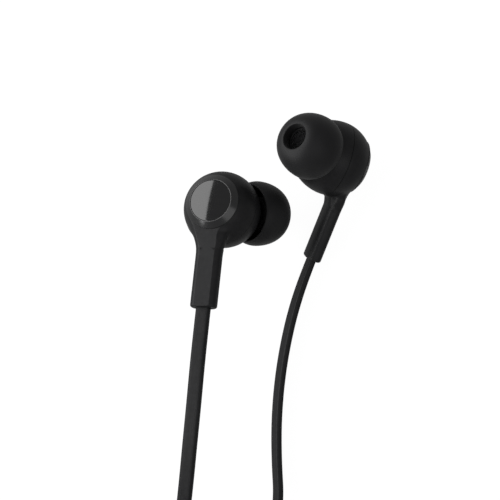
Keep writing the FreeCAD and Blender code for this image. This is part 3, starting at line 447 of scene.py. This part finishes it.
def rear_distance(points, side):
    """Distance from bulb and stem together. The stem dies away inside the bulb, and the fillet between the
    two is wider on the side away from the nozzle and below the cap."""
    x, y, z = points[..., 0], points[..., 1], points[..., 2]
    stem = -blended(-stem_distance(points), -(z + STEM_TOP) * 0.9, STEM_TOP_ROUND)
    below_cap = np.clip(y / 2 - 1.8, 0, 1) * np.clip(1.7 - np.abs(x) / 2, 0, 1)
    room = FILLET - FILLET_ASIDE * np.clip(side * x / 2, -1, 1) + FILLET_BELOW_CAP * below_cap
    return blended(bulb_distance(points), stem, room)


def reached(distance, origin, ways, far):
    """Where rays from inside a shape leave it: halve the stretch that holds the change of sign, 36 times."""
    low, high = np.zeros(ways.shape[:-1]), np.full(ways.shape[:-1], far)
    for _ in range(36):
        half = (low + high) / 2
        inside = distance(origin + ways * half[..., None]) < 0
        low, high = np.where(inside, half, low), np.where(inside, high, half)
    return origin + ways * low[..., None]


def lathe(profile, around):
    """Points of a profile of (radius, height) turned about Z, one row for each point of the profile."""
    radius, height = np.asarray(profile, dtype=float).T
    turn = np.linspace(0, 2 * np.pi, around, endpoint=False)
    flat = radius[:, None, None] * np.stack([np.cos(turn), np.sin(turn)], axis=-1)
    return np.concatenate([flat, np.broadcast_to(height[:, None, None], (len(radius), around, 1))], axis=-1)


def oval_profile(across, depth, low, high, count):
    """Points of the oval's profile, (radius, height along the cap axis), between two heights."""
    end, beside, shift, raise_by = oval_arcs(across, depth)
    height = np.linspace(low, high, count)
    on_side = shift + np.sqrt(np.maximum(beside ** 2 - height ** 2, 0))
    on_pole = np.sqrt(np.maximum(end ** 2 - (np.abs(height) - raise_by) ** 2, 0))
    meets = raise_by + end * raise_by / math.hypot(shift, raise_by)
    return np.stack([np.where(np.abs(height) > meets, on_pole, on_side), height], axis=1)


def along_cap(points):
    """Points about Z turned so that Z becomes the cap axis, Y."""
    return np.stack([points[..., 0], points[..., 2], -points[..., 1]], axis=-1)


def shell(name, outer, inner, height, keep_above):
    """A hollow shell from two grids of points in rows. The outer one is cut level at the parting height,
    where the inner one's edge already lies, and the two are joined there by a flat rim."""
    faces = ring_faces(*outer.shape[:2])
    inner_faces = ring_faces(*inner.shape[:2])
    first = outer.shape[0] * outer.shape[1]
    points = np.concatenate([outer.reshape(-1, 3), inner.reshape(-1, 3)])
    mesh = bpy.data.meshes.new(name)
    mesh.from_pydata(points, [], faces + [[corner + first for corner in face] for face in inner_faces])
    work = bmesh.new()
    work.from_mesh(mesh)
    work.verts.ensure_lookup_table()
    work.faces.ensure_lookup_table()
    outside = work.faces[:len(faces)]
    edges = {edge for face in outside for edge in face.edges}
    bmesh.ops.bisect_plane(work, geom=work.verts[:first] + list(edges) + outside, plane_co=(0, height, 0),
                           plane_no=(0, 1, 0), clear_inner=keep_above, clear_outer=not keep_above, dist=1e-5)
    bmesh.ops.remove_doubles(work, verts=work.verts, dist=1e-4)
    rim = [edge for edge in work.edges
           if edge.is_boundary and all(abs(corner.co.y - height) < 1e-3 for corner in edge.verts)]
    bmesh.ops.bridge_loops(work, edges=rim)
    bmesh.ops.recalc_face_normals(work, faces=work.faces)
    work.to_mesh(mesh)
    work.free()
    return mesh


def merged(points, distance):
    """A mesh through rows of points, in which those that lie within a distance are one."""
    mesh = bpy.data.meshes.new("turned")
    mesh.from_pydata(points.reshape(-1, 3), [], ring_faces(*points.shape[:2]))
    work = bmesh.new()
    work.from_mesh(mesh)
    bmesh.ops.remove_doubles(work, verts=work.verts, dist=distance)
    work.to_mesh(mesh)
    work.free()
    return mesh


def turned_mesh(profile, seat=along_cap, around=192):
    """A mesh turned from a closed profile of (radius, height), counter-clockwise."""
    return merged(seat(lathe(list(profile) + [profile[0]], around)), 1e-4)


def less(mesh, taken):
    """What is left of a closed mesh where another one is taken from it."""
    body, tool = bpy.data.objects.new("body", mesh), bpy.data.objects.new("tool", taken)
    bpy.context.collection.objects.link(body)
    bpy.context.collection.objects.link(tool)
    cut = body.modifiers.new("cut", "BOOLEAN")
    cut.operation, cut.solver, cut.object = "DIFFERENCE", "MANIFOLD", tool
    left = bpy.data.meshes.new_from_object(body.evaluated_get(bpy.context.evaluated_depsgraph_get()))
    bpy.data.objects.remove(body)
    bpy.data.objects.remove(tool)
    left.materials.clear()
    return left


def seated(name, mesh, ear, sharp=35):
    """An object of a mesh whose points are in an earpiece's own axes, with its place put into the mesh."""
    points = np.empty(len(mesh.vertices) * 3)
    mesh.vertices.foreach_get("co", points)
    mesh.vertices.foreach_set("co", (placed(ear, points.reshape(-1, 3)) * MM).ravel())
    mesh.update()
    return shown(name, mesh, sharp)


def moulded(name, dark, pale, grain, rough, specular, relief, sheen=0.0):
    """A moulded plastic: a colour between two shades, and the fine pits of a spark-eroded mould, whose grain
    is in millimetres and whose depth is in micrometres."""
    material, tree = blank(name)
    place = node(tree, "ShaderNodeTexCoord").outputs["Object"]
    pits = node(tree, "ShaderNodeTexNoise", {"Vector": place, "Scale": 1000 / grain, "Detail": 4.0,
                                             "Roughness": 0.65})
    wear = noise(tree, place, 180.0, 3.0)
    coat(tree, {"Base Color": speckled(tree, place, dark, pale, grain * 6),
                "Roughness": spread(tree, wear, 0.3, 0.7, rough - 0.04, rough + 0.04),
                "Specular IOR Level": specular, "Sheen Weight": sheen,
                "Normal": bumped(tree, pits.outputs[0], 0.6, relief * 1e-6)})
    return material


# Spark-eroded ABS: a dry, even black on which a lamp spreads into a broad, low sheen.
abs_black = moulded("eroded_abs_black", "#161617", "#1c1c1d", 0.16, 0.42, 0.14, 6.0)
rear_middle = np.array([0.0, 2.9, -1.2])
turn = np.linspace(0, 2 * np.pi, 288, endpoint=False)
flat_turn = np.stack([np.cos(turn), np.sin(turn), np.zeros(len(turn))], axis=1)
for ear in SIDE:
    def distance(points):
        return np.maximum(rear_distance(points, SIDE[ear]), points[..., 1] - CAP_FLAT + RING_SINK)

    levels = np.concatenate([np.linspace(-9.0, 0.5 - STEM_REACH, 36),
                             -STEM_REACH + STEM_END_ROUND * (1 - np.sin(np.linspace(0.1, np.pi / 2, 7)))])
    centres = np.stack([np.zeros(len(levels)), np.full(len(levels), STEM_OFFSET), levels], axis=1)[:, None]
    stem = reached(distance, centres, np.broadcast_to(flat_turn, (len(levels), *flat_turn.shape)), 9.0)
    to_first = stem[0] - rear_middle
    tilt = np.arccos(unit(to_first)[:, 2])
    tilts = np.linspace(0, 1, 210)[:-1, None] * tilt
    ways = np.sin(tilts)[..., None] * flat_turn + np.cos(tilts)[..., None] * np.array([0, 0, 1.0])
    bulb = reached(distance, rear_middle, ways, 30.0)
    mouth = rounded_outline(CORD_WIDTH + MOUTH_ROOM, CORD_THICKNESS + MOUTH_ROOM, 0.5, 12, 12)
    aim = np.arctan2(mouth[:, 1], mouth[:, 0]) % (2 * np.pi)
    order = np.argsort(aim)
    reach = np.interp(turn, aim[order], np.hypot(*mouth[order].T), period=2 * np.pi)
    lip = flat_turn * reach[:, None] + [0, STEM_OFFSET, -STEM_REACH]
    flat_end = stem[-1] * [1, 1, 0] - [0, 0, STEM_REACH]
    share = np.linspace(0.1, 1, 6)[:, None, None]
    rows = [flat_end + (lip - flat_end) * share,
            lip[None] + [0, 0, 0.06], lip[None] + [0, 0, MOUTH_DEPTH],
            np.broadcast_to([0, STEM_OFFSET, MOUTH_DEPTH - STEM_REACH], (1, *lip.shape))]
    outer = np.concatenate([bulb, stem, *rows])[::-1]
    cavity = oval_profile(BULB - WALL, REAR_DEPTH - WALL, REAR_PARTING, CAP_SEAT - WALL, 24)[::-1]
    inner = along_cap(lathe(np.concatenate([[(0, CAP_SEAT - WALL), (2.5, CAP_SEAT - WALL)], cavity]), 200))
    pocket = turned_mesh([(0, CAP_SEAT), (POCKET_RADIUS, CAP_SEAT), (POCKET_RADIUS, 9.0), (0, 9.0)])
    rear = seated(f"{ear}_rear_shell", less(shell("rear", outer, inner, REAR_PARTING, True), pocket), ear)
    rear.data.materials.append(abs_black)
    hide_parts(f"{ear}_rear_housing")
    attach(rear, "earphones")


# The front housing. The ear's side of the bulb and its angled nozzle are one moulding of the same ABS, glued
# to the rear along the parting line. The nozzle ends in a lip that holds the ear tip, and its sound bore is
# drawn as deep as it shows behind the screen.
NOZZLE_NECK, NOZZLE_LIP, NOZZLE_END, NOZZLE_STRAIGHT, NOZZLE_FILLET = 2.3, 2.6, 12.2, 9.6, 1.2
LIP_START, SCREEN_SEAT, SCREEN_BORE, SOUND_BORE, BORE_BOTTOM = 11.1, 11.9, 2.1, 1.75, 8.6
DRIVER_BORE, DRIVER_FRONT, LEDGE_RADIUS, LEDGE_FRONT = 5.04, -1.6, 4.3, -2.3
lean, lift = math.radians(29.4), math.radians(10.8)
nozzle_way = {ear: np.array([SIDE[ear] * math.sin(lean) * math.cos(lift), -math.cos(lean) * math.cos(lift),
                             math.sin(lift)]) for ear in SIDE}
nozzle_base = {ear: np.array([SIDE[ear] * 0.5, 0.5, -0.36]) for ear in SIDE}


def along_nozzle(ear, points):
    """Points about Z, carried to the nozzle's axis in an earpiece's own axes."""
    way = nozzle_way[ear]
    first = unit(np.cross([0, 0, 1.0], way))
    return points @ np.array([first, np.cross(way, first), way]) + nozzle_base[ear]


for ear in SIDE:
    way, base = nozzle_way[ear], nozzle_base[ear]

    def distance(points):
        along = (points - base) @ way
        aside = np.linalg.norm(points - base - along[..., None] * way, axis=-1)
        return blended(bulb_distance(points), np.maximum(aside - NOZZLE_NECK, -along), NOZZLE_FILLET)

    first = unit(np.cross([0, 0, 1.0], way))
    second = np.cross(way, first)
    turn = np.linspace(0, 2 * np.pi, 220, endpoint=False)
    around = np.cos(turn)[:, None] * first + np.sin(turn)[:, None] * second
    tilts = np.linspace(math.radians(135), math.atan2(NOZZLE_NECK, NOZZLE_STRAIGHT), 170)[:, None, None]
    bulb = reached(distance, base, np.cos(tilts) * way + np.sin(tilts) * around, 20.0)
    mouth = [(NOZZLE_NECK, LIP_START), (NOZZLE_NECK + 0.05, LIP_START + 0.08),
             (NOZZLE_LIP - 0.05, LIP_START + 0.1), (NOZZLE_LIP, LIP_START + 0.15),
             (NOZZLE_LIP, NOZZLE_END - 0.2), (NOZZLE_LIP - 0.06, NOZZLE_END - 0.06),
             (NOZZLE_LIP - 0.18, NOZZLE_END), (SCREEN_BORE + 0.06, NOZZLE_END),
             (SCREEN_BORE, NOZZLE_END - 0.06), (SCREEN_BORE, SCREEN_SEAT), (SOUND_BORE + 0.05, SCREEN_SEAT),
             (SOUND_BORE, SCREEN_SEAT - 0.05), (SOUND_BORE, BORE_BOTTOM), (0, BORE_BOTTOM)]
    outer = np.concatenate([bulb, along_nozzle(ear, lathe(mouth, 220))])
    cavity = oval_profile(BULB - WALL, FRONT_DEPTH - WALL, WALL - FRONT_DEPTH, LEDGE_FRONT, 30)[::-1]
    profile = np.concatenate([[(DRIVER_BORE, FRONT_PARTING), (DRIVER_BORE, DRIVER_FRONT),
                               (LEDGE_RADIUS, DRIVER_FRONT), (LEDGE_RADIUS, LEDGE_FRONT)], cavity])
    inner = along_cap(lathe(profile, 200))
    front = seated(f"{ear}_front_shell", shell("front", outer, inner, FRONT_PARTING, False), ear)
    front.data.materials.append(abs_black)
    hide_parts(f"{ear}_front_housing")
    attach(front, "earphones")


# The wax screen. A disc of plain-woven, blackened steel wire sits in the nozzle's mouth; its real wires are
# 0.03 mm thick, and here they are drawn three times as coarse so that the weave shows.
WIRE, WIRE_STEP, SCREEN_RADIUS, SCREEN_HEIGHT = 0.045, 0.21, 2.04, 12.07
steel_wire, tree = blank("blackened_steel_wire")
place = node(tree, "ShaderNodeTexCoord").outputs["Object"]
coat(tree, {"Base Color": speckled(tree, place, "#232324", "#2f2f30", 0.3), "Metallic": 1.0,
            "Roughness": spread(tree, noise(tree, place, 12000.0), 0.0, 1.0, 0.22, 0.4)})


def woven_disc(name, ear):
    """Wires both ways across a disc. Each is a tube whose height is a cosine of the way along it, half a wave
    for each wire that it crosses, and which goes over where its neighbour goes under."""
    rows = np.arange(-9, 10)
    reach = np.sqrt(np.maximum(SCREEN_RADIUS ** 2 - (rows * WIRE_STEP) ** 2, 0.01))
    share = np.linspace(-1, 1, 73)
    turn = np.linspace(0, 2 * np.pi, 6, endpoint=False)
    along = reach[:, None] * share
    wave = WIRE * np.cos(np.pi * along / WIRE_STEP) * np.where(rows % 2 == 0, 1, -1)[:, None]
    x, y, z = np.broadcast_arrays(along[..., None], (rows * WIRE_STEP)[:, None, None] + WIRE * np.cos(turn),
                                  (SCREEN_HEIGHT + wave)[..., None] + WIRE * np.sin(turn))
    there = np.stack([x, y, z], axis=-1)
    across = np.stack([y, x, 2 * SCREEN_HEIGHT - z], axis=-1)
    wires = np.concatenate([there, across]).reshape(-1, len(share), len(turn), 3)
    faces = np.array(ring_faces(len(share), len(turn)))
    count = len(share) * len(turn)
    ends = end_caps(len(share), len(turn))
    every = []
    for i in range(len(wires)):
        every += (faces + i * count).tolist() + [[corner + i * count for corner in end] for end in ends]
    mesh = bpy.data.meshes.new(name)
    mesh.from_pydata(along_nozzle(ear, wires.reshape(-1, 3)), [], every)
    return seated(name, mesh, ear, 60)


for ear in SIDE:
    screen = woven_disc(f"{ear}_wax_screen", ear)
    screen.data.materials.append(steel_wire)
    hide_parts(f"{ear}_nozzle_mesh")
    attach(screen, "earphones")


def quarter(centre, radius, start, end, count=6):
    """Points of an arc in a profile, from one angle in degrees to another."""
    swing = np.radians(np.linspace(start, end, count))
    return [(centre[0] + radius * math.cos(angle), centre[1] + radius * math.sin(angle)) for angle in swing]


# The cap's trim ring. A bevelled ring of polished ABS is pressed into the rear housing and holds the disc.
RING_RISE, RING_SPIGOT, RING_BORE = 0.9, 4.8, 3.4
DISC_RADIUS, DISC_THICKNESS, DISC_DOME = 4.0, 0.9, 0.14
CAP_FACE = CAP_FLAT + RING_RISE
# Polished ABS: black with a clear but softened reflection, so its bevel breaks into light and dark.
ring_black = moulded("polished_abs_black", "#121213", "#171718", 0.3, 0.22, 0.5, 1.2)
bevel = math.degrees(math.atan2(RING_RADIUS - DISC_RADIUS - 0.14, RING_RISE - 0.12))
for ear in SIDE:
    edge = 0.07
    underside = CAP_FLAT - RING_SINK
    profile = [(RING_SPIGOT, CAP_SEAT), (RING_SPIGOT, underside), (RING_RADIUS, underside)]
    profile += quarter((RING_RADIUS - edge, CAP_FLAT + 0.1), edge, 0, 90 - bevel)
    profile += quarter((DISC_RADIUS + 0.17, CAP_FACE - 0.05), 0.05, 90 - bevel, 90, 5)
    profile += quarter((DISC_RADIUS + 0.07, CAP_FACE - 0.03), 0.03, 90, 180, 4)
    profile += [(DISC_RADIUS + 0.04, CAP_FACE - DISC_THICKNESS), (RING_BORE, CAP_FACE - DISC_THICKNESS),
                (RING_BORE, CAP_SEAT)]
    ring = seated(f"{ear}_trim_ring", turned_mesh(profile), ear, 50)
    ring.data.materials.append(ring_black)
    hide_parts(f"{ear}_cap_ring")
    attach(ring, "earphones")


# The cap's disc. A thin acrylic disc, slightly domed and lacquered black, lies in the ring.
# Piano-black lacquer: a mirror over black, in which the lamp stands with a sharp edge.
lacquer, tree = blank("piano_black_lacquer")
place = node(tree, "ShaderNodeTexCoord").outputs["Object"]
levelling = noise(tree, place, 700.0, 1.0)
coat(tree, {"Base Color": speckled(tree, place, "#060607", "#0a0a0b", 1.5),
            "Roughness": spread(tree, levelling, 0.0, 1.0, 0.03, 0.07), "Specular IOR Level": 0.5,
            "Normal": bumped(tree, levelling, 0.1, 0.000004)})
for ear in SIDE:
    rim = CAP_FACE - 0.05
    across = np.linspace(DISC_RADIUS - 0.04, 0, 40)
    profile = [(0, CAP_FACE - DISC_THICKNESS + 0.01), (DISC_RADIUS, CAP_FACE - DISC_THICKNESS + 0.01)]
    profile += quarter((DISC_RADIUS - 0.04, rim), 0.04, 0, 70, 5)
    profile += [(r, CAP_FACE - 0.01 + DISC_DOME * (1 - (r / DISC_RADIUS) ** 2)) for r in across]
    disc = seated(f"{ear}_disc", turned_mesh(profile), ear)
    disc.data.materials.append(lacquer)
    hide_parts(f"{ear}_cap_disc")
    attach(disc, "earphones")


# The ear tips. Each is one moulding of black liquid silicone: a sleeve that grips the nozzle, turned back at
# the mouth into a thin domed skirt, which is open towards the bulb.
RIM_RADIUS, RIM_HEIGHT, BELLY_RADIUS, BELLY_HEIGHT = 5.75, 6.1, 6.3, 8.1
TIP_END, TIP_MOUTH, LIP_ROUND, SKIRT_WALL, SKIRT_BOW = 14.1, 2.66, 0.17, 0.45, 0.12
SLEEVE_START, SLEEVE_INNER, SLEEVE_OUTER, SLEEVE_STOP = 7.75, 2.64, 3.3, 12.3


def tip_profile():
    """The tip's section: quarters of ellipses from belly to mouth outside and inside the skirt, arcs from
    belly to rim, and a rounded edge at rim and mouth."""
    swing = np.radians(np.linspace(0, 90, 34))
    dome = [(TIP_MOUTH + (BELLY_RADIUS - TIP_MOUTH) * math.cos(a),
             BELLY_HEIGHT + (TIP_END - BELLY_HEIGHT) * math.sin(a)) for a in swing]
    top = TIP_END - 1.9 * SKIRT_WALL
    hollow = [(SLEEVE_OUTER + (BELLY_RADIUS - SKIRT_WALL - SLEEVE_OUTER) * math.cos(a),
               BELLY_HEIGHT + (top - BELLY_HEIGHT) * math.sin(a)) for a in swing]
    share = np.linspace(0, 1, 14)
    bow = SKIRT_BOW * 4 * share * (1 - share)
    skirt = RIM_RADIUS + (BELLY_RADIUS - RIM_RADIUS) * share + bow
    height = RIM_HEIGHT + (BELLY_HEIGHT - RIM_HEIGHT) * share
    edge = SKIRT_WALL / 2
    profile = quarter((RIM_RADIUS - edge, RIM_HEIGHT + edge), edge, 180, 340, 9)
    keep = height > RIM_HEIGHT + edge
    profile += list(zip(skirt[keep], height[keep]))
    profile += dome[1:-1]
    profile += quarter((TIP_MOUTH, TIP_END - LIP_ROUND), LIP_ROUND, 90, 180, 7)
    throat = TIP_MOUTH - LIP_ROUND - 0.02
    profile += [(throat, SLEEVE_STOP + 0.12), (throat + 0.05, SLEEVE_STOP), (SLEEVE_INNER, SLEEVE_STOP),
                (SLEEVE_INNER, SLEEVE_START + 0.12), (SLEEVE_INNER + 0.1, SLEEVE_START),
                (SLEEVE_OUTER - 0.1, SLEEVE_START), (SLEEVE_OUTER, SLEEVE_START + 0.1)]
    profile += hollow[::-1]
    profile += list(zip((skirt - SKIRT_WALL)[keep][::-1], height[keep][::-1]))
    return profile


def off_bulb(points, room=0.08):
    """Points of the skirt that would be nearer to the bulb than its resting gap, moved straight out of it."""
    least = bulb_distance(points)
    step = 1e-3
    slope = np.stack([bulb_distance(points + step * np.eye(3)[i]) - least for i in range(3)], axis=-1)
    return points + unit(slope + 1e-12) * np.maximum(room - least, 0)[..., None]


# Liquid silicone: a soft black whose sheen is wide and low, with the faintest orange peel of its mould.
silicone = moulded("moulded_silicone_black", "#131314", "#181819", 0.5, 0.52, 0.15, 3.0, 0.04)
for ear in SIDE:
    skin = turned_mesh(tip_profile(), lambda points: off_bulb(along_nozzle(ear, points)), 176)
    tip = seated(f"{ear}_silicone_tip", skin, ear, 50)
    tip.data.materials.append(silicone)
    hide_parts(f"{ear}_ear_tip")
    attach(tip, f"{ear}_tip")


# The driver and what holds the cord. These stay as the source makes them: a moving-coil capsule of a moulded
# basket, a steel yoke and plate round a plated magnet, a film dome on its coil, a small circuit board behind
# it, and the block in the stem that takes the cord's pull.
def metal(name, dark, pale, rough, grain):
    """A bare or plated metal, whose colour and gloss waver with the marks of how it was made."""
    material, tree = blank(name)
    place = node(tree, "ShaderNodeTexCoord").outputs["Object"]
    marks = noise(tree, place, 1000 / grain, 3.0)
    coat(tree, {"Base Color": speckled(tree, place, dark, pale, grain * 3), "Metallic": 1.0,
                "Roughness": spread(tree, marks, 0.3, 0.7, rough * 0.8, rough * 1.25),
                "Normal": bumped(tree, marks, 0.15, 0.000004)})
    return material


# Solder mask over glass cloth: a satin green through which the weave of the cloth just shows.
board_green, tree = blank("solder_mask_green")
place = node(tree, "ShaderNodeTexCoord").outputs["Object"]
cloth = node(tree, "ShaderNodeTexWave", {"Vector": place, "Scale": 900.0, "Distortion": 0.4})
coat(tree, {"Base Color": speckled(tree, place, "#0f4a2a", "#155c36", 0.4), "Roughness": 0.3,
            "Specular IOR Level": 0.5, "Normal": bumped(tree, cloth.outputs[1], 0.2, 0.00001)})
# Vapour-formed film: a stiff, pearly sheet, pale and half glossy.
film, tree = blank("formed_polymer_film")
place = node(tree, "ShaderNodeTexCoord").outputs["Object"]
coat(tree, {"Base Color": speckled(tree, place, "#c9bf9f", "#ddd3b4", 0.8), "Roughness": 0.32,
            "Specular IOR Level": 0.5, "Normal": bumped(tree, noise(tree, place, 3000.0), 0.2, 0.000006)})
inside = {
    "driver_frame": moulded("moulded_polyester_grey", "#2a2a2b", "#333334", 0.2, 0.45, 0.5, 4.0),
    "driver_yoke": metal("pressed_soft_steel", "#9a9a9c", "#b4b4b6", 0.34, 0.25),
    "driver_top_plate": metal("blanked_soft_steel", "#9a9a9c", "#b4b4b6", 0.38, 0.2),
    "driver_magnet": metal("nickel_plated_magnet", "#b9b6ae", "#ccc9c1", 0.18, 0.4),
    "voice_coil": metal("enamelled_copper_winding", "#a9602f", "#c47a45", 0.3, 0.08),
    "leads": metal("enamelled_copper_wire", "#a9602f", "#c47a45", 0.26, 0.12),
    "terminal_board": board_green,
    "diaphragm": film,
    "surround": film,
    "cable_stop": moulded("moulded_nylon_black", "#1b1b1c", "#222223", 0.25, 0.5, 0.45, 5.0),
}


def dress(name, material):
    """Give a node of the source its material."""
    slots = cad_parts[name].material_slots
    if not slots:
        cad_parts[name].data.materials.append(material)
    for place in slots:
        place.material = material


for ear in SIDE:
    for name, material in inside.items():
        dress(f"{ear}_{name}", material)


# The splitter. A block of matte elastomer is moulded over the place where the branches, on edge side by side,
# are joined to the trunk; it narrows towards the trunk.
SPLITTER_WIDTH, SPLITTER_TAPER, SPLITTER_DEPTH, SPLITTER_EDGE = 6.2, 1.6, 4.0, 0.6
moulded_black = moulded("overmoulded_elastomer_black", "#161617", "#1c1c1d", 0.22, 0.46, 0.42, 6.0)
ends = np.array([0, 0.03, 0.1, 0.2, 0.35])
middle = np.linspace(SPLITTER_EDGE, SPLITTER_LENGTH - SPLITTER_EDGE, 40)
steps = np.concatenate([ends, middle, SPLITTER_LENGTH - ends[::-1]])
to_end = np.clip(SPLITTER_EDGE - np.minimum(steps, SPLITTER_LENGTH - steps), 0, SPLITTER_EDGE)
insets = SPLITTER_EDGE - np.sqrt(np.maximum(SPLITTER_EDGE ** 2 - to_end ** 2, 0))
widths = SPLITTER_WIDTH - SPLITTER_TAPER * eased(np.clip((steps / SPLITTER_LENGTH - 0.55) / 0.45, 0, 1))
upwards = np.array([0, 0, 1.0])
rows = []
for step, inset, width in zip(steps, insets, widths):
    outline = rounded_outline(SPLITTER_DEPTH - 2 * inset, width - 2 * inset, 1.2 - 0.7 * inset, 8, 4)
    rows.append(splitter_start + splitter_way * step + outline[:, :1] * upwards
                + outline[:, 1:] * np.cross(splitter_way, upwards))
rows = np.array(rows)
faces = ring_faces(*rows.shape[:2]) + end_caps(*rows.shape[:2])
block = mesh_piece("branch_block", rows, faces)
block.data.materials.append(moulded_black)
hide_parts("splitter")
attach(block, "earphones")


# The strap. A closed band of matte elastomer goes round the three layers of the coil at one place.
STRAP_ANGLE, STRAP_WIDTH, STRAP_THICKNESS, STRAP_BEND = math.radians(30.0), 4.0, 0.5, 0.75
outwards = np.array([math.cos(STRAP_ANGLE), math.sin(STRAP_ANGLE), 0.0])
corners = np.array([vertex.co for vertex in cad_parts["cord_tie"].data.vertices]) / MM - COIL_MIDDLE
out, up = corners @ outwards, corners[:, 2]
loop = rounded_outline(np.ptp(out) - STRAP_THICKNESS, np.ptp(up) - STRAP_THICKNESS, STRAP_BEND, 10, 30)
line = (COIL_MIDDLE + ((out.max() + out.min()) / 2 + loop[:, :1]) * outwards
        + ((up.max() + up.min()) / 2 + loop[:, 1:]) * upwards)
way_round = np.roll(line, -1, axis=0) - np.roll(line, 1, axis=0)
out_of_loop = unit(np.cross(way_round, np.cross(outwards, upwards)))
band = rounded_outline(STRAP_WIDTH, STRAP_THICKNESS, 0.18, 5, 6)
strap = swept("coil_strap", line, out_of_loop, band, closed=True)
strap.data.materials.append(moulded_black)
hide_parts("cord_tie")
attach(strap, "earphones")


# The plug. A grip of the same elastomer is moulded over the back of a three-contact plug, 3.5 mm across,
# turned in brass and gold-plated, whose contacts are parted by black rings of nylon.
GRIP_LENGTH, GRIP_RADIUS, GRIP_ROUND = 16.0, 3.1, 0.3
NECK_RADIUS, GROOVE_RADIUS, GROOVES = 2.5, 2.14, (1.2, 2.1, 3.0, 3.9)
ribs = [(0, 0), (2.05, 0)] + quarter((2.05, 0.25), 0.25, -90, 0, 5)
for groove in GROOVES:
    ribs += [(2.36, groove - 0.25), (GROOVE_RADIUS, groove - 0.17), (GROOVE_RADIUS, groove + 0.17),
             (2.4, groove + 0.25)]
ribs += [(NECK_RADIUS + (GRIP_RADIUS - NECK_RADIUS) * eased(s), 4.4 + 1.2 * s) for s in np.linspace(0, 1, 10)]
ribs += quarter((GRIP_RADIUS - GRIP_ROUND, GRIP_LENGTH - GRIP_ROUND), GRIP_ROUND, 0, 90, 7)
ribs += [(0, GRIP_LENGTH)]
points = np.roll(lathe(ribs, 96), 1, axis=-1) + plug_start
grip = shown("grip", merged(points * MM, 1e-7), 35)
grip.data.materials.append(moulded_black)
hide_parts("plug_grip")
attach(grip, "earphones")
# Gold over brass: a warm, bright metal with the faint lines of turning.
gold = metal("gold_plated_brass", "#d0a85a", "#dcb769", 0.16, 0.15)
for name in ("plug_sleeve", "plug_ring", "plug_tip"):
    dress(name, gold)
dress("plug_insulators", inside["cable_stop"])

# Each cord's piece and line are looked up here once more, and nothing is done with them.
for ear, length in (("right", 0.338), ("left", 0.323)):
    piece, line = cords[ear]
piece, line = cords["trunk"]


# What the earphones lie on and are lit by: a white table, a large softbox on the left, a small one above, and
# a dim room.
floor_mesh = bpy.data.meshes.new("table")
floor_mesh.from_pydata([(-3, -3, 0), (3, -3, 0), (3, 3, 0), (-3, 3, 0)], [], [(0, 1, 2, 3)])
floor = bpy.data.objects.new("table", floor_mesh)
bpy.context.collection.objects.link(floor)
# The paper glows white where the camera sees it and dimmer where a surface mirrors it, and scatters the light
# of the lamps as a grey sheet does.
paper, tree = blank("white_paper")
rays = node(tree, "ShaderNodeLightPath")
mirrored = node(tree, "ShaderNodeMath", {0: rays.outputs["Is Glossy Ray"], 1: 0.36}, operation="MULTIPLY")
seen = node(tree, "ShaderNodeMath", {0: rays.outputs["Is Camera Ray"], 1: mirrored.outputs[0]},
            operation="MAXIMUM")
seen = node(tree, "ShaderNodeMath", {0: seen.outputs[0], 1: rays.outputs["Is Transmission Ray"]},
            operation="MAXIMUM")
white = node(tree, "ShaderNodeEmission", {"Color": paint("#ffffff"), "Strength": 0.95})
sheet = node(tree, "ShaderNodeBsdfDiffuse", {"Color": paint("#565656")})
glow = node(tree, "ShaderNodeMixShader", {0: seen.outputs[0], 2: white.outputs[0]})
both = node(tree, "ShaderNodeAddShader", {0: sheet.outputs[0], 1: glow.outputs[0]})
close(tree, both.outputs[0])
floor_mesh.materials.append(paper)

room = bpy.data.worlds.new("dim_room")
room.use_nodes = True
rays = node(room.node_tree, "ShaderNodeLightPath")
level = spread(room.node_tree, rays.outputs["Is Camera Ray"], 0.0, 1.0, 0.4, 1.0)
backdrop = room.node_tree.nodes["Background"]
backdrop.inputs["Color"].default_value = paint("#ffffff")
room.node_tree.links.new(level, backdrop.inputs["Strength"])
bpy.context.scene.world = room


def softbox(name, place, aim, width, height, strength, roll=0.0):
    """A rectangular lamp in metres that faces a point, rolled about the line to it by an angle in degrees;
    its power is its radiance times its area times pi."""
    lamp = bpy.data.lights.new(name, "AREA")
    lamp.shape = "RECTANGLE"
    lamp.size, lamp.size_y = width, height
    lamp.energy = strength * width * height * math.pi
    holder = bpy.data.objects.new(name, lamp)
    way = np.array(aim, dtype=float) - place
    level = Vector(way).to_track_quat("-Z", "Y")
    holder.rotation_euler = (level @ Quaternion((0, 0, 1), math.radians(roll))).to_euler()
    holder.location = place
    bpy.context.collection.objects.link(holder)


softbox("left_softbox", (-0.65, 0.1, 0.33), (0, 0.1, 0.33), 1.3, 0.66, 4.4, 9.5)
softbox("top_softbox", (0.3, -0.2, 0.7), (0, 0, 0), 0.6, 0.6, 1.2)
